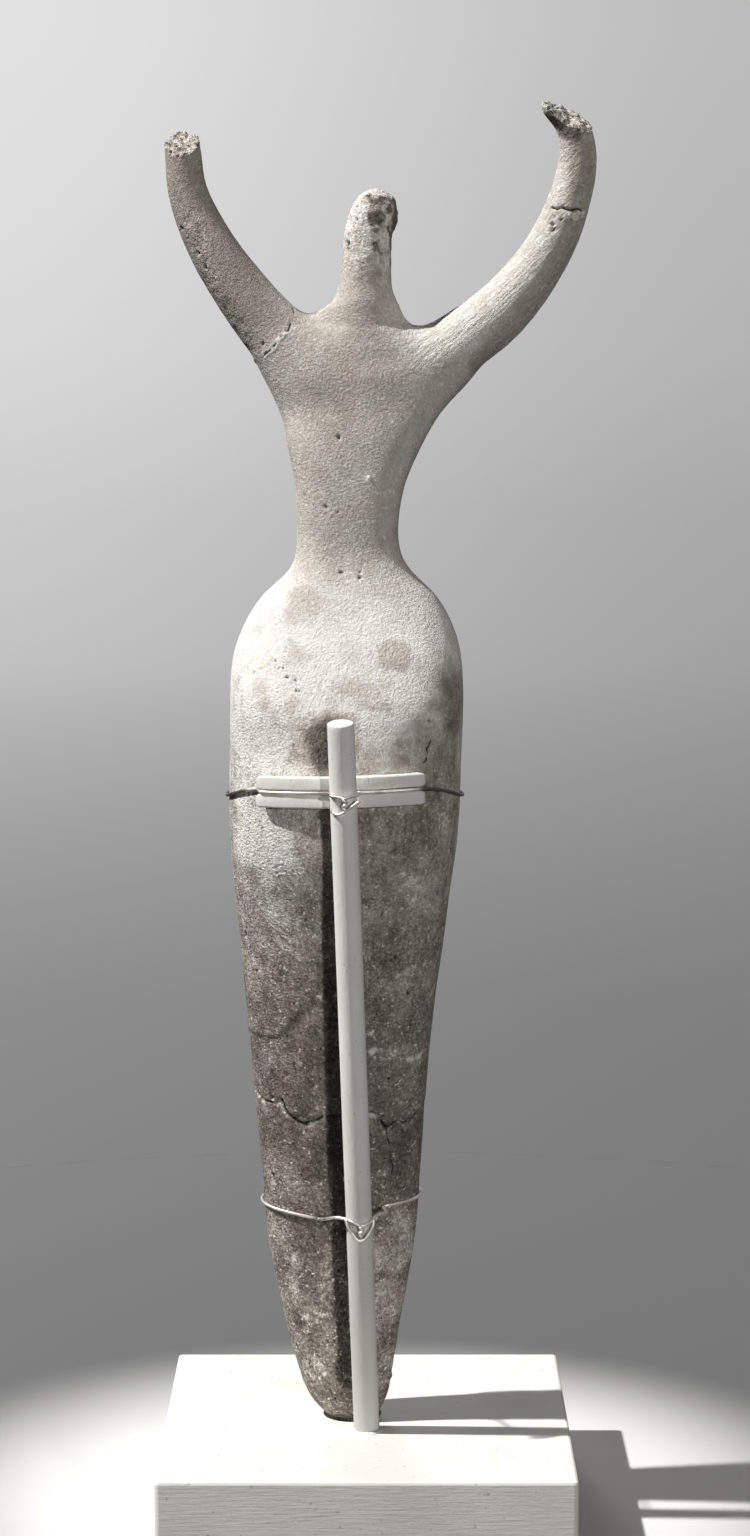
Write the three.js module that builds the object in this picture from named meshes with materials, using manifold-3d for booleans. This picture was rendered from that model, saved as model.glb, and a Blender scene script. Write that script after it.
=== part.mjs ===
// Terracotta figurine with raised arms, standing on its tip in a white wooden block.
// A leaning rod carries two curved bands behind the hips, and two wires tie the figure to it.
// Millimetres, +Z up, the figure's back towards -Y. The origin is the centre of the block's underside.
import * as THREE from "three";
import { mergeVertices } from "three/addons/utils/BufferGeometryUtils.js";
import Module from "manifold-3d";

const wasm = await Module();
wasm.setup();

// Driving dimensions
const clearance = 0.3;
const figureHeight = 327;
const blockWidth = 100;
const blockDepth = 100;
const blockHeight = 22;
const blockCorner = 1.2;
const blockEdge = 0.7;
const tipX = -4.75;
const tipY = 2;
const socketDepth = 4;
const socketPlay = 1.2;
const socketToRod = 2.1;
const rodDiameter = 6.4;
const rodEdge = 0.4;
const rodSink = 12;
const rodAboveBands = 13;
const rodFootX = 0;
const bandHeight = 3.3;
const bandThickness = 2.3;
const bandSweep = THREE.MathUtils.degToRad(97);
const bandTurn = THREE.MathUtils.degToRad(-2);
const bandGroove = 0.9;
const bandEdge = 0.25;
const bandRise = 0.022;
const bandToRod = 0.4;
const wireDiameter = 0.8;
const wireTail = 4.5;
const hipWireDrop = 3.4;
const legWireLift = 1.1;

// Heights of the bands and of the leg wire, as shares of the figure's height
const bandShare = 0.5055;
const legWireShare = 0.182;

// The figure, in hundredths of its height, measured from its tip: level, middle x and half-width,
// middle y and half-depth. The middle is measured from where the tip stands.
const trunkRows = [
  [0, 0.53, 2.23, 0.0, 1.99],
  [2.66, 0.08, 3.03, -0.37, 2.39],
  [5.11, -0.17, 3.64, -0.34, 2.63],
  [8.47, -0.38, 4.37, -0.31, 2.75],
  [14.89, -0.47, 5.5, -0.67, 3.12],
  [21.31, -0.5, 6.02, -1.22, 3.55],
  [30.8, -0.54, 6.76, -2.26, 4.34],
  [39.97, -0.38, 7.68, -3.43, 5.29],
  [47, -0.2, 8.38, -4.37, 6.18],
  [54.95, -0.05, 8.53, -4.04, 5.87],
  [59.24, 0.02, 8.38, -3.3, 4.83],
  [61.68, 0.11, 7.74, -2.81, 4.04],
  [63.82, 0.17, 6.48, -2.45, 3.36],
  [65.81, 0.2, 4.5, -2.11, 2.81],
  [67.19, 0.11, 3.85, -1.96, 2.57],
  [69.48, 0.08, 3.73, -1.83, 2.45],
  [72.39, 0.26, 4.1, -1.53, 2.51],
  [75.44, 0.66, 5.11, -1.07, 2.6],
  [78.5, 1.36, 6.12, -0.6, 2.38],
  [81.25, 1.3, 6.76, -0.15, 2.0],
  [83.7, 0.57, 6.76, 0.0, 1.7],
];
const trunkSquareness = 2.15;
const tipDome = 3.67;
const shoulderDome = 2.57;

// Limbs, in the same hundredths: x, y, level and radius along the middle
const leftArmRows = [
  [-2.89, 0.4, 80.61, 2.6],
  [-6.74, 0.15, 84.8, 2.2],
  [-9.98, 0.15, 89.54, 1.77],
  [-11.67, 0.2, 93.43, 1.44],
  [-11.97, 0.15, 96.02, 1.35],
  [-12.31, 0.05, 99.17, 1.25],
];
const rightArmRows = [
  [7.32, 0.35, 81.74, 2.35],
  [11.21, 0.15, 84.65, 2.17],
  [14.3, 0.15, 88.41, 1.83],
  [16.19, 0.2, 92.45, 1.56],
  [16.87, 0.1, 95.72, 1.38],
  [16.45, -0.15, 98.1, 1.2],
  [15.3, -0.4, 99.5, 1.1],
];
const headRows = [
  [1.51, 0.9, 80.95, 3.0],
  [1.35, 0.1, 84.9, 2.02],
  [1.6, 0.1, 90.1, 1.78],
  [2.1, 0.3, 91.9, 1.68],
];
const beakRows = [
  [1.9, 0.9, 91.3, 1.45],
  [2.0, 2.7, 91.0, 1.3],
  [2.05, 4.2, 89.9, 1.1],
  [2.1, 5.1, 88.2, 0.95],
];
const breastRows = [
  [-1.9, 1.2, 76.6, 1.75],
  [3.7, 1.2, 76.6, 1.75],
];
const armBlend = 2.95;
const neckBlend = 2.54;
const beakBlend = 0.9;
const breastBlend = 1.4;

// Where the arms are broken off: a point on each break and the way it faces
const breaks = [
  { at: [-12.1, 0.2, 97.0], facing: [-0.08, -0.6, 0.8] },
  { at: [15.45, -0.45, 99.1], facing: [0.45, -0.42, 0.79] },
];

const breakReach = 8;

// Cells of the figure's skin, in the same hundredths, long along its height, and the cells left around it
const skinCell = new THREE.Vector3(1.01, 1.01, 1.6);
const skinMargin = 2;
const skinShift = 0.1;

// Steps, sides and small distances of the shapes
const limbSteps = 4;
const slideSteps = 4;
const bandSteps = 20;
const wireSteps = 72;
const loopSteps = 72;
const loopRodSteps = 24;
const wireCurveSteps = 3;
const cornerSteps = 3;
const socketSides = 40;
const rodSides = 28;
const probe = 0.05;
const standOffError = 0.005;
const leastDome = 0.001;
const sameCorner = 1e-4;

const hundredth = figureHeight / 100;
const blockTop = blockHeight;
const tipLevel = blockTop - socketDepth + clearance;
const rodRadius = rodDiameter / 2;
const wireRadius = wireDiameter / 2;

const clay = new THREE.MeshStandardMaterial({ color: 0x8a7666, roughness: 0.88, metalness: 0 });
const paintedWood = new THREE.MeshStandardMaterial({ color: 0xd9d5cb, roughness: 0.72, metalness: 0 });
const paintedMetal = new THREE.MeshStandardMaterial({ color: 0xd2cdc1, roughness: 0.62, metalness: 0 });
const wireMetal = new THREE.MeshStandardMaterial({ color: 0xa8a39a, roughness: 0.42, metalness: 1 });

// Smooth steps from 0 to 1
function ease(from, to, value) {
  return THREE.MathUtils.smoothstep(value, from, to);
}

// A row of numbers at a level between the rows' own levels, on a cubic curve through them
function rowAt(rows, level) {
  const last = rows.length - 1;
  const value = THREE.MathUtils.clamp(level, rows[0][0], rows[last][0]);
  let i = 0;
  while (i < last - 1 && rows[i + 1][0] < value) i += 1;
  const slope = (k, column) => {
    const low = rows[Math.max(k - 1, 0)];
    const high = rows[Math.min(k + 1, last)];
    return (high[column] - low[column]) / (high[0] - low[0]);
  };
  const span = rows[i + 1][0] - rows[i][0];
  const t = (value - rows[i][0]) / span;
  return rows[i].map((start, column) => {
    const end = rows[i + 1][column];
    const rise = t * t * (3 - 2 * t) * (end - start);
    return start + rise + span * t * (1 - t) * ((1 - t) * slope(i, column) - t * slope(i + 1, column));
  });
}

// Points and radii along a limb, in millimetres from the tip, on a smooth curve through its rows
function limbOf(rows) {
  const middle = new THREE.CatmullRomCurve3(rows.map(([x, y, z]) => new THREE.Vector3(x, y, z)));
  const radii = new THREE.CatmullRomCurve3(rows.map((row) => new THREE.Vector3(row[3], 0, 0)));
  const steps = (rows.length - 1) * limbSteps;
  return Array.from({ length: steps + 1 }, (_, i) => ({
    point: middle.getPoint(i / steps).multiplyScalar(hundredth),
    radius: radii.getPoint(i / steps).x * hundredth,
  }));
}

const leftArm = limbOf(leftArmRows);
const rightArm = limbOf(rightArmRows);
const head = limbOf(headRows);
const beak = limbOf(beakRows);

// Distance to a chain of tapering round rods
function limbDistance(point, limb) {
  let nearest = Infinity;
  const along = new THREE.Vector3();
  const offset = new THREE.Vector3();
  for (let i = 0; i < limb.length - 1; i += 1) {
    along.subVectors(limb[i + 1].point, limb[i].point);
    offset.subVectors(point, limb[i].point);
    const t = THREE.MathUtils.clamp(offset.dot(along) / along.lengthSq(), 0, 1);
    const radius = THREE.MathUtils.lerp(limb[i].radius, limb[i + 1].radius, t);
    nearest = Math.min(nearest, offset.addScaledVector(along, -t).length() - radius);
  }
  return nearest;
}

// The trunk's section at a height above the tip: its middle and half-sizes, closed by a dome at each end
function sectionAt(height) {
  const top = trunkRows[trunkRows.length - 1][0];
  const level = height / hundredth;
  const [, x, wide, y, deep] = rowAt(trunkRows, level);
  const fromTip = THREE.MathUtils.clamp(level / tipDome, leastDome, 1);
  const fromTop = THREE.MathUtils.clamp((top - level) / shoulderDome, leastDome, 1);
  const close = Math.sqrt((1 - (1 - fromTip) ** 2) * (1 - (1 - fromTop) ** 2));
  return {
    x: x * hundredth,
    y: y * hundredth,
    wide: wide * close * hundredth,
    deep: deep * close * hundredth,
    past: Math.max(-level, level - top) * hundredth,
  };
}

// Distance to the trunk, whose sections are slightly squared ellipses
function trunkDistance(point) {
  const section = sectionAt(point.z);
  const power = trunkSquareness;
  const u = Math.max(Math.abs(point.x - section.x), probe) / section.wide;
  const v = Math.max(Math.abs(point.y - section.y), probe) / section.deep;
  const reach = (u ** power + v ** power) ** (1 / power);
  const slopeX = (u / reach) ** (power - 1) / section.wide;
  const slopeY = (v / reach) ** (power - 1) / section.deep;
  return Math.max((reach - 1) / Math.hypot(slopeX, slopeY), section.past);
}

// Union of two distances with a hollow of the given size between them
function blend(first, second, size) {
  const overlap = Math.max(size - Math.abs(first - second), 0) / size;
  return Math.min(first, second) - overlap * overlap * size / 4;
}

// Distance to the whole clay figure; the point is measured from where the tip stands
function figureDistance(point) {
  let distance = trunkDistance(point);
  distance = blend(distance, limbDistance(point, leftArm), armBlend * hundredth);
  distance = blend(distance, limbDistance(point, rightArm), armBlend * hundredth);
  distance = blend(distance, limbDistance(point, head), neckBlend * hundredth);
  distance = blend(distance, limbDistance(point, beak), beakBlend * hundredth);
  for (const [x, y, z, radius] of breastRows) {
    const middle = new THREE.Vector3(x, y, z).multiplyScalar(hundredth);
    const mound = point.distanceTo(middle) - radius * hundredth;
    distance = blend(distance, mound, breastBlend * hundredth);
  }
  return distance;
}

// Moves a point onto the surface where the distance is zero
function slide(point, distance) {
  const slope = new THREE.Vector3();
  for (let step = 0; step < slideSteps; step += 1) {
    for (const axis of ["x", "y", "z"]) {
      const ahead = point.clone();
      ahead[axis] += probe;
      const behind = point.clone();
      behind[axis] -= probe;
      slope[axis] = (distance(ahead) - distance(behind)) / (2 * probe);
    }
    point.addScaledVector(slope, -distance(point) / slope.lengthSq());
  }
  return point;
}

// Closed skin of a solid given by a distance: one corner in each cell that the surface crosses,
// and one four-sided face around each grid edge that it crosses. Distances near zero are pushed away
// from it, so that no two corners fall together.
function skinOf(distance, box, size) {
  const axes = ["x", "y", "z"];
  const counts = axes.map((axis) => Math.ceil((box.max[axis] - box.min[axis]) / size[axis]) + 1);
  const strides = [1, counts[0], counts[0] * counts[1]];
  const place = (i, j, k) => new THREE.Vector3(i, j, k).multiply(size).add(box.min);
  const least = skinShift * size.x;
  const values = new Float32Array(counts[0] * counts[1] * counts[2]);
  const spots = [];
  for (let k = 0; k < counts[2]; k += 1) {
    for (let j = 0; j < counts[1]; j += 1) {
      for (let i = 0; i < counts[0]; i += 1) {
        spots.push([i, j, k]);
        const value = distance(place(i, j, k));
        values[spots.length - 1] = value < 0 ? Math.min(value, -least) : Math.max(value, least);
      }
    }
  }
  const positions = [];
  const corners = new Map();
  const cornerOf = (number) => {
    if (!corners.has(number)) {
      const sum = new THREE.Vector3();
      let crossings = 0;
      for (let side = 0; side < 3; side += 1) {
        const [one, two] = [strides[(side + 1) % 3], strides[(side + 2) % 3]];
        for (const start of [number, number + one, number + two, number + one + two]) {
          const end = start + strides[side];
          if (values[start] < 0 !== values[end] < 0) {
            const t = values[start] / (values[start] - values[end]);
            sum.add(place(...spots[start]).lerp(place(...spots[end]), t));
            crossings += 1;
          }
        }
      }
      corners.set(number, positions.length / 3);
      positions.push(...slide(sum.divideScalar(crossings), distance));
    }
    return corners.get(number);
  };
  const faces = [];
  spots.forEach((spot, number) => {
    for (let side = 0; side < 3; side += 1) {
      const [one, two] = [(side + 1) % 3, (side + 2) % 3];
      if (spot[side] + 1 >= counts[side] || spot[one] === 0 || spot[two] === 0) continue;
      const inside = values[number] < 0;
      if (inside === values[number + strides[side]] < 0) continue;
      const ring = [0, strides[one], strides[one] + strides[two], strides[two]];
      const [a, b, c, d] = ring.map((back) => cornerOf(number - back));
      faces.push(...(inside ? [a, b, c, a, c, d] : [a, c, b, a, d, c]));
    }
  });
  const geometry = new THREE.BufferGeometry();
  geometry.setAttribute("position", new THREE.Float32BufferAttribute(positions, 3));
  geometry.setIndex(faces);
  return geometry;
}

// A geometry as a solid that can be cut, and back
function solidOf(geometry) {
  const bare = geometry.clone();
  bare.deleteAttribute("normal");
  bare.deleteAttribute("uv");
  const merged = mergeVertices(bare, sameCorner);
  return new wasm.Manifold(new wasm.Mesh({
    numProp: 3,
    vertProperties: new Float32Array(merged.attributes.position.array),
    triVerts: new Uint32Array(merged.index.array),
  }));
}

function geometryOf(solid) {
  const mesh = solid.getMesh();
  const geometry = new THREE.BufferGeometry();
  geometry.setAttribute("position", new THREE.BufferAttribute(mesh.vertProperties, 3));
  geometry.setIndex(new THREE.BufferAttribute(mesh.triVerts, 1));
  geometry.computeVertexNormals();
  return geometry;
}

// The clay figure, with its arms broken off by two flat cuts
function figureGeometry() {
  const limits = new THREE.Box3();
  const grow = (x, y, z, wide, deep) => {
    limits.expandByPoint(new THREE.Vector3(x - wide, y - deep, z));
    limits.expandByPoint(new THREE.Vector3(x + wide, y + deep, z));
  };
  trunkRows.forEach(([z, x, wide, y, deep]) => grow(x, y, z, wide, deep));
  for (const rows of [leftArmRows, rightArmRows, headRows, beakRows, breastRows]) {
    for (const [x, y, z, radius] of rows) {
      grow(x, y, z - radius, radius, radius);
      grow(x, y, z + radius, radius, radius);
    }
  }
  const size = skinCell.clone().multiplyScalar(hundredth);
  limits.min.multiplyScalar(hundredth).addScaledVector(size, -skinMargin);
  limits.max.multiplyScalar(hundredth).addScaledVector(size, skinMargin);
  let solid = solidOf(skinOf(figureDistance, limits, size));
  const cutSize = breakReach * hundredth;
  for (const { at, facing } of breaks) {
    const normal = new THREE.Vector3(...facing).normalize();
    const cutter = new THREE.BoxGeometry(cutSize, cutSize, cutSize);
    cutter.translate(0, 0, cutSize / 2);
    cutter.applyQuaternion(new THREE.Quaternion().setFromUnitVectors(new THREE.Vector3(0, 0, 1), normal));
    cutter.translate(...new THREE.Vector3(...at).multiplyScalar(hundredth));
    solid = solid.subtract(solidOf(cutter));
  }
  return geometryOf(solid);
}

// How far from the trunk's middle, at a height above the tip and an angle from the back towards +X,
// the figure's surface is a given gap away
function standOff(height, angle, gap) {
  const section = sectionAt(height);
  const out = new THREE.Vector3(Math.sin(angle), -Math.cos(angle), 0);
  const middle = new THREE.Vector3(section.x, section.y, height);
  let near = 0;
  let far = 2 * (section.wide + section.deep) + gap;
  while (far - near > standOffError) {
    const half = (near + far) / 2;
    if (figureDistance(middle.clone().addScaledVector(out, half)) < gap) near = half;
    else far = half;
  }
  return middle.addScaledVector(out, far);
}

// Heights above the tip
const grooveHeight = bandShare * figureHeight;
const lowerBandHeight = grooveHeight - bandGroove / 2 - bandHeight;
const upperBandHeight = grooveHeight + bandGroove / 2;
const legWireHeight = legWireShare * figureHeight;

// The rod's line, from its foot beside the socket to its touch on the lower band; measured from the tip
const topSection = sectionAt(blockTop - tipLevel);
const socketRadius = Math.max(topSection.wide, topSection.deep) + socketPlay;
const rodHoleRadius = rodRadius + clearance;
const bandBack = standOff(lowerBandHeight, 0, clearance + bandThickness + bandToRod + rodRadius);
const rodFootY = topSection.y - socketRadius - socketToRod - rodHoleRadius;
const rodFoot = new THREE.Vector3(rodFootX - tipX, rodFootY, blockTop - tipLevel);
const rodDirection = new THREE.Vector3().subVectors(bandBack, rodFoot).normalize();

// The rod's middle at a height
function rodAt(height) {
  return rodFoot.clone().addScaledVector(rodDirection, (height - rodFoot.z) / rodDirection.z);
}

// A curved bar behind the hips, from one height up, standing a clearance off the clay
function bandGeometry(height) {
  const line = (gap) => Array.from({ length: bandSteps + 1 }, (_, i) => {
    const angle = bandTurn + bandSweep * (i / bandSteps - 0.5);
    const low = standOff(height, angle, gap);
    const high = standOff(height + bandHeight, angle, gap);
    return Math.hypot(low.x, low.y) > Math.hypot(high.x, high.y) ? low : high;
  });
  const inner = line(clearance + bandEdge);
  const outer = line(clearance + bandThickness - bandEdge);
  const outline = new THREE.Shape([...outer, ...inner.reverse()].map(({ x, y }) => new THREE.Vector2(x, y)));
  const geometry = new THREE.ExtrudeGeometry(outline, {
    depth: bandHeight - 2 * bandEdge,
    bevelThickness: bandEdge,
    bevelSize: bandEdge,
    bevelSegments: 1,
  });
  const slant = new THREE.Matrix4().makeShear(0, bandRise, 0, 0, 0, 0);
  return geometry.translate(0, 0, height + bandEdge).applyMatrix4(slant);
}

// The points of a taut loop around a set of points, from the one furthest back and towards +X
function tautLoop(points) {
  const sorted = [...points].sort((a, b) => a.x - b.x || a.y - b.y);
  const chain = (list) => {
    const kept = [];
    for (const point of list) {
      const turn = () => {
        const [a, b] = kept.slice(-2);
        return (b.x - a.x) * (point.y - a.y) - (b.y - a.y) * (point.x - a.x);
      };
      while (kept.length > 1 && turn() <= 0) kept.pop();
      kept.push(point);
    }
    return kept.slice(0, -1);
  };
  const loop = [...chain(sorted), ...chain(sorted.reverse())];
  const first = loop.indexOf(loop.reduce((back, point) => (point.y < back.y ? point : back)));
  return [...loop.slice(first), ...loop.slice(0, first)];
}

// A tie wire around the figure and the rod, with its height and its gap to the clay given for each angle
// from the back. Its two ends pass each other behind the rod.
function wireGeometry(heightAt, gapAt) {
  const points = [];
  for (let i = 0; i < loopSteps; i += 1) {
    const angle = 2 * Math.PI * (i / loopSteps - 0.5);
    points.push(standOff(heightAt(angle), angle, gapAt(angle) + clearance + wireRadius));
  }
  const around = rodRadius + clearance + wireRadius;
  for (let i = 0; i < loopRodSteps; i += 1) {
    const angle = 2 * Math.PI * i / loopRodSteps;
    const out = new THREE.Vector3(Math.sin(angle), -Math.cos(angle), 0);
    points.push(rodAt(heightAt(0)).addScaledVector(out, around));
  }
  const loop = tautLoop(points);
  const rise = wireDiameter + clearance;
  const strand = [...loop, loop[0].clone()];
  strand.forEach((point, i) => {
    point.z += rise * (i / (strand.length - 1) - 0.5);
  });
  const end = new THREE.Vector3(wireTail, wireDiameter, -wireTail / 2);
  strand.unshift(strand[0].clone().sub(new THREE.Vector3(end.x, end.y, -end.z)));
  strand.push(strand[strand.length - 1].clone().add(new THREE.Vector3(end.x, -end.y, -end.z)));
  const section = new THREE.Shape().absarc(0, 0, wireRadius, 0, 2 * Math.PI);
  return new THREE.ExtrudeGeometry(section, {
    steps: wireSteps,
    curveSegments: wireCurveSteps,
    bevelEnabled: false,
    extrudePath: new THREE.CatmullRomCurve3(strand, false, "centripetal"),
  });
}

// The block, with the round socket for the tip and the slanted hole for the rod
function blockGeometry() {
  const [halfWide, halfDeep] = [blockWidth / 2 - blockCorner, blockDepth / 2 - blockCorner];
  const outline = new THREE.Shape();
  outline.absarc(halfWide, halfDeep, blockCorner, 0, Math.PI / 2);
  outline.absarc(-halfWide, halfDeep, blockCorner, Math.PI / 2, Math.PI);
  outline.absarc(-halfWide, -halfDeep, blockCorner, Math.PI, 1.5 * Math.PI);
  outline.absarc(halfWide, -halfDeep, blockCorner, 1.5 * Math.PI, 2 * Math.PI);
  const block = new THREE.ExtrudeGeometry(outline, {
    depth: blockHeight - 2 * blockEdge,
    curveSegments: cornerSteps,
    bevelThickness: blockEdge,
    bevelSize: blockEdge,
    bevelOffset: -blockEdge,
    bevelSegments: 2,
  }).translate(0, 0, blockEdge);
  const socket = new THREE.CylinderGeometry(socketRadius, socketRadius, 2 * socketDepth, socketSides);
  socket.rotateX(Math.PI / 2).translate(topSection.x + tipX, topSection.y + tipY, blockTop);
  const hole = new THREE.CylinderGeometry(rodHoleRadius, rodHoleRadius, 2 * (rodSink + clearance), rodSides);
  hole.rotateX(Math.PI / 2);
  hole.applyQuaternion(new THREE.Quaternion().setFromUnitVectors(new THREE.Vector3(0, 0, 1), rodDirection));
  hole.translate(rodFoot.x + tipX, rodFoot.y + tipY, blockTop);
  return geometryOf(solidOf(block).subtract(solidOf(socket)).subtract(solidOf(hole)));
}

// The rod, a turned profile from its foot in the block to its flat top above the bands
function rodGeometry() {
  const topHeight = upperBandHeight + bandHeight + rodAboveBands;
  const length = (topHeight - rodFoot.z) / rodDirection.z;
  const profile = [
    [0, -rodSink],
    [rodRadius - rodEdge, -rodSink],
    [rodRadius, rodEdge - rodSink],
    [rodRadius, length - rodEdge],
    [rodRadius - rodEdge, length],
    [0, length],
  ];
  const geometry = new THREE.LatheGeometry(profile.map(([x, y]) => new THREE.Vector2(x, y)), rodSides);
  const lean = new THREE.Quaternion().setFromUnitVectors(new THREE.Vector3(0, 1, 0), rodDirection);
  geometry.applyQuaternion(lean);
  return geometry.translate(...rodFoot);
}

function piece(name, geometry, material) {
  const mesh = new THREE.Mesh(geometry, material);
  mesh.name = name;
  return mesh;
}

const figurine = new THREE.Group();
figurine.position.set(tipX, tipY, tipLevel);
figurine.add(piece("figurine", figureGeometry(), clay));

const support = new THREE.Group();
support.position.copy(figurine.position);
support.add(piece("support_rod", rodGeometry(), paintedMetal));
support.add(piece("upper_band", bandGeometry(upperBandHeight), paintedMetal));
support.add(piece("lower_band", bandGeometry(lowerBandHeight), paintedMetal));

const hipWireAt = (angle) => grooveHeight - hipWireDrop * ease(bandSweep / 2, Math.PI / 2, Math.abs(angle));
const bandGap = (angle) => (Math.abs(angle - bandTurn) < bandSweep / 2 ? clearance + bandThickness : 0);
support.add(piece("hip_wire", wireGeometry(hipWireAt, bandGap), wireMetal));
const legWireAt = (angle) => legWireHeight + legWireLift * Math.sin(angle);
support.add(piece("leg_wire", wireGeometry(legWireAt, () => 0), wireMetal));

const part = new THREE.Group();
part.add(piece("base_block", blockGeometry(), paintedWood), figurine, support);

export default part;
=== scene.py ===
"""A baked-clay figurine with raised arms, standing on its tip in a white wooden block.

A leaning rod and two curved bands hold it up from behind, and two wires tie it to them.
Lengths are in millimetres until a mesh is made. The clay is measured from the point where its tip stands.
"""
import math

import bmesh
import bpy
import numpy as np
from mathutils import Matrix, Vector


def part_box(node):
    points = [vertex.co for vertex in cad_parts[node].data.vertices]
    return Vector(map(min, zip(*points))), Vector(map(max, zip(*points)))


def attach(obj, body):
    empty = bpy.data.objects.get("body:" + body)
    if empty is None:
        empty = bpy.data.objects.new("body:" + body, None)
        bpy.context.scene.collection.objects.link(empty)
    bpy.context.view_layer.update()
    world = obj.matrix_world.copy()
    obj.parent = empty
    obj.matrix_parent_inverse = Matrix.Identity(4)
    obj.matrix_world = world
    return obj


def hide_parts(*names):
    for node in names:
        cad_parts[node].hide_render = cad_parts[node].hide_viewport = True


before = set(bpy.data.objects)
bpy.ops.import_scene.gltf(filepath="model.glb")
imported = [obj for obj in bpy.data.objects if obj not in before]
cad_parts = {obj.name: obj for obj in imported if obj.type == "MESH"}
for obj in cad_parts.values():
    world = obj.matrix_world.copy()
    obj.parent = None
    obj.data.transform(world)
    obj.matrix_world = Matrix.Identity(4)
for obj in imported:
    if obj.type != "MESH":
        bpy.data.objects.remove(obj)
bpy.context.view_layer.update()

MM = 0.001
UP = np.array([0.0, 0.0, 1.0])

# The view: where the camera stands, how far it looks down, and the picture that its pixels are counted in
CAMERA_AT = np.array([2.0, -796.7, 286.7])
CAMERA_DOWN = math.radians(7.28)
PICTURE_SIZE = (750, 1536)
PICTURE_SENSOR = 36.0
PICTURE_LENS = 77.23

# The clay figure
FIGURE_HEIGHT = 327.0
HUNDREDTH = FIGURE_HEIGHT / 100
TIP_ON_BLOCK = np.array([-4.75, 2.0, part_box("base_block")[1].z / MM])
TIP = TIP_ON_BLOCK - [0, 0, 3.7]

# Hundredths of the figure's height: level, middle x and half-width, middle y and half-depth
TRUNK = HUNDREDTH * np.array([
    [0, 0.53, 2.23, 0.0, 1.99],
    [2.66, 0.08, 3.03, -0.37, 2.39],
    [5.11, -0.17, 3.64, -0.34, 2.63],
    [8.47, -0.38, 4.37, -0.31, 2.75],
    [14.89, -0.47, 5.5, -0.67, 3.12],
    [21.31, -0.5, 6.02, -1.22, 3.55],
    [30.8, -0.54, 6.76, -2.26, 4.34],
    [39.97, -0.38, 7.68, -3.43, 5.29],
    [47, -0.2, 8.38, -4.37, 6.18],
    [54.95, -0.05, 8.53, -4.04, 5.87],
    [59.24, 0.02, 8.38, -3.3, 4.83],
    [61.68, 0.11, 7.74, -2.81, 4.04],
    [63.82, 0.17, 6.48, -2.45, 3.36],
    [65.81, 0.2, 4.5, -2.11, 2.81],
    [67.19, 0.11, 3.85, -1.96, 2.57],
    [69.48, 0.08, 3.73, -1.83, 2.45],
    [72.39, 0.26, 4.1, -1.53, 2.51],
    [75.44, 0.66, 5.11, -1.07, 2.6],
    [78.5, 1.36, 6.12, -0.6, 2.38],
    [81.25, 1.3, 6.76, -0.15, 2.0],
    [83.7, 0.57, 6.76, 0.0, 1.7],
])
# How square the trunk's sections are: 2 for an ellipse, more for a flatter back, by hundredths of the height
SQUARENESS = np.array([[53, 2.15], [57.5, 2.9], [73, 2.9], [80, 2.2], [84, 2.0]])
TIP_DOME = 3.67 * HUNDREDTH
SHOULDER_DOME = 4.4 * HUNDREDTH

# Hundredths again: x, y, level and radius along the middle of each limb
LEFT_ARM = HUNDREDTH * np.array([
    [-2.89, 0.4, 80.61, 2.6],
    [-6.74, 0.15, 84.8, 2.2],
    [-9.98, 0.15, 89.54, 1.77],
    [-11.67, 0.2, 93.43, 1.44],
    [-11.97, 0.15, 96.02, 1.35],
    [-12.31, 0.05, 99.17, 1.25],
])
RIGHT_ARM = HUNDREDTH * np.array([
    [7.32, 0.35, 81.74, 2.35],
    [11.21, 0.15, 84.65, 2.17],
    [14.3, 0.15, 88.41, 1.83],
    [16.19, 0.2, 92.45, 1.56],
    [16.87, 0.1, 95.72, 1.38],
    [16.45, -0.15, 98.1, 1.2],
    [15.3, -0.4, 99.5, 1.1],
])
HEAD = HUNDREDTH * np.array([
    [1.51, 0.9, 80.95, 3.0],
    [1.35, 0.1, 84.9, 2.02],
    [1.6, 0.1, 90.1, 1.78],
    [2.1, 0.3, 91.9, 1.68],
])
BEAK = HUNDREDTH * np.array([
    [1.9, 0.9, 91.3, 1.45],
    [2.0, 2.7, 91.0, 1.3],
    [2.05, 4.2, 89.9, 1.1],
    [2.1, 5.1, 88.2, 0.95],
])
BREASTS = HUNDREDTH * np.array([[-1.9, 1.2, 76.6, 1.75], [3.7, 1.2, 76.6, 1.75]])
ARM_BLEND = 2.95 * HUNDREDTH
NECK_BLEND = 3.2 * HUNDREDTH
BEAK_BLEND = 0.9 * HUNDREDTH
BREAST_BLEND = 1.4 * HUNDREDTH

# Where the arms are broken off: a point on each break and the way it faces
BREAKS = [
    (HUNDREDTH * np.array([-12.1, 0.2, 97.0]), np.array([-0.08, -0.6, 0.8])),
    (HUNDREDTH * np.array([15.45, -0.45, 99.1]), np.array([0.45, -0.42, 0.79])),
]
BREAK_REACH = 13.0
BREAK_ROUGHNESS = 0.55

# The support
ROD_RADIUS = 3.2
BAND_THICKNESS = 2.3
BAND_HEIGHT = 3.3
WIRE_RADIUS = 0.4
GAP = 0.3


def box_of(node):
    """The node's lowest and highest corner in millimetres."""
    return [np.array(corner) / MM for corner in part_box(node)]


# Random numbers and noise
def lattice(cells, seed):
    """Numbers from 0 to 1, one for each whole-number point, from mixing the bits of its three numbers."""
    x, y, z = (cells[..., axis].astype(np.int64).astype(np.uint32) for axis in range(3))
    mixed = x * np.uint32(73856093) ^ y * np.uint32(19349663) ^ z * np.uint32(83492791)
    mixed = mixed ^ np.uint32(seed * 2654435761 & 0xFFFFFFFF)
    mixed = (mixed ^ (mixed >> np.uint32(15))) * np.uint32(2246822519)
    mixed = (mixed ^ (mixed >> np.uint32(13))) * np.uint32(3266489917)
    return (mixed ^ (mixed >> np.uint32(16))) / 4294967296.0


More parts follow.
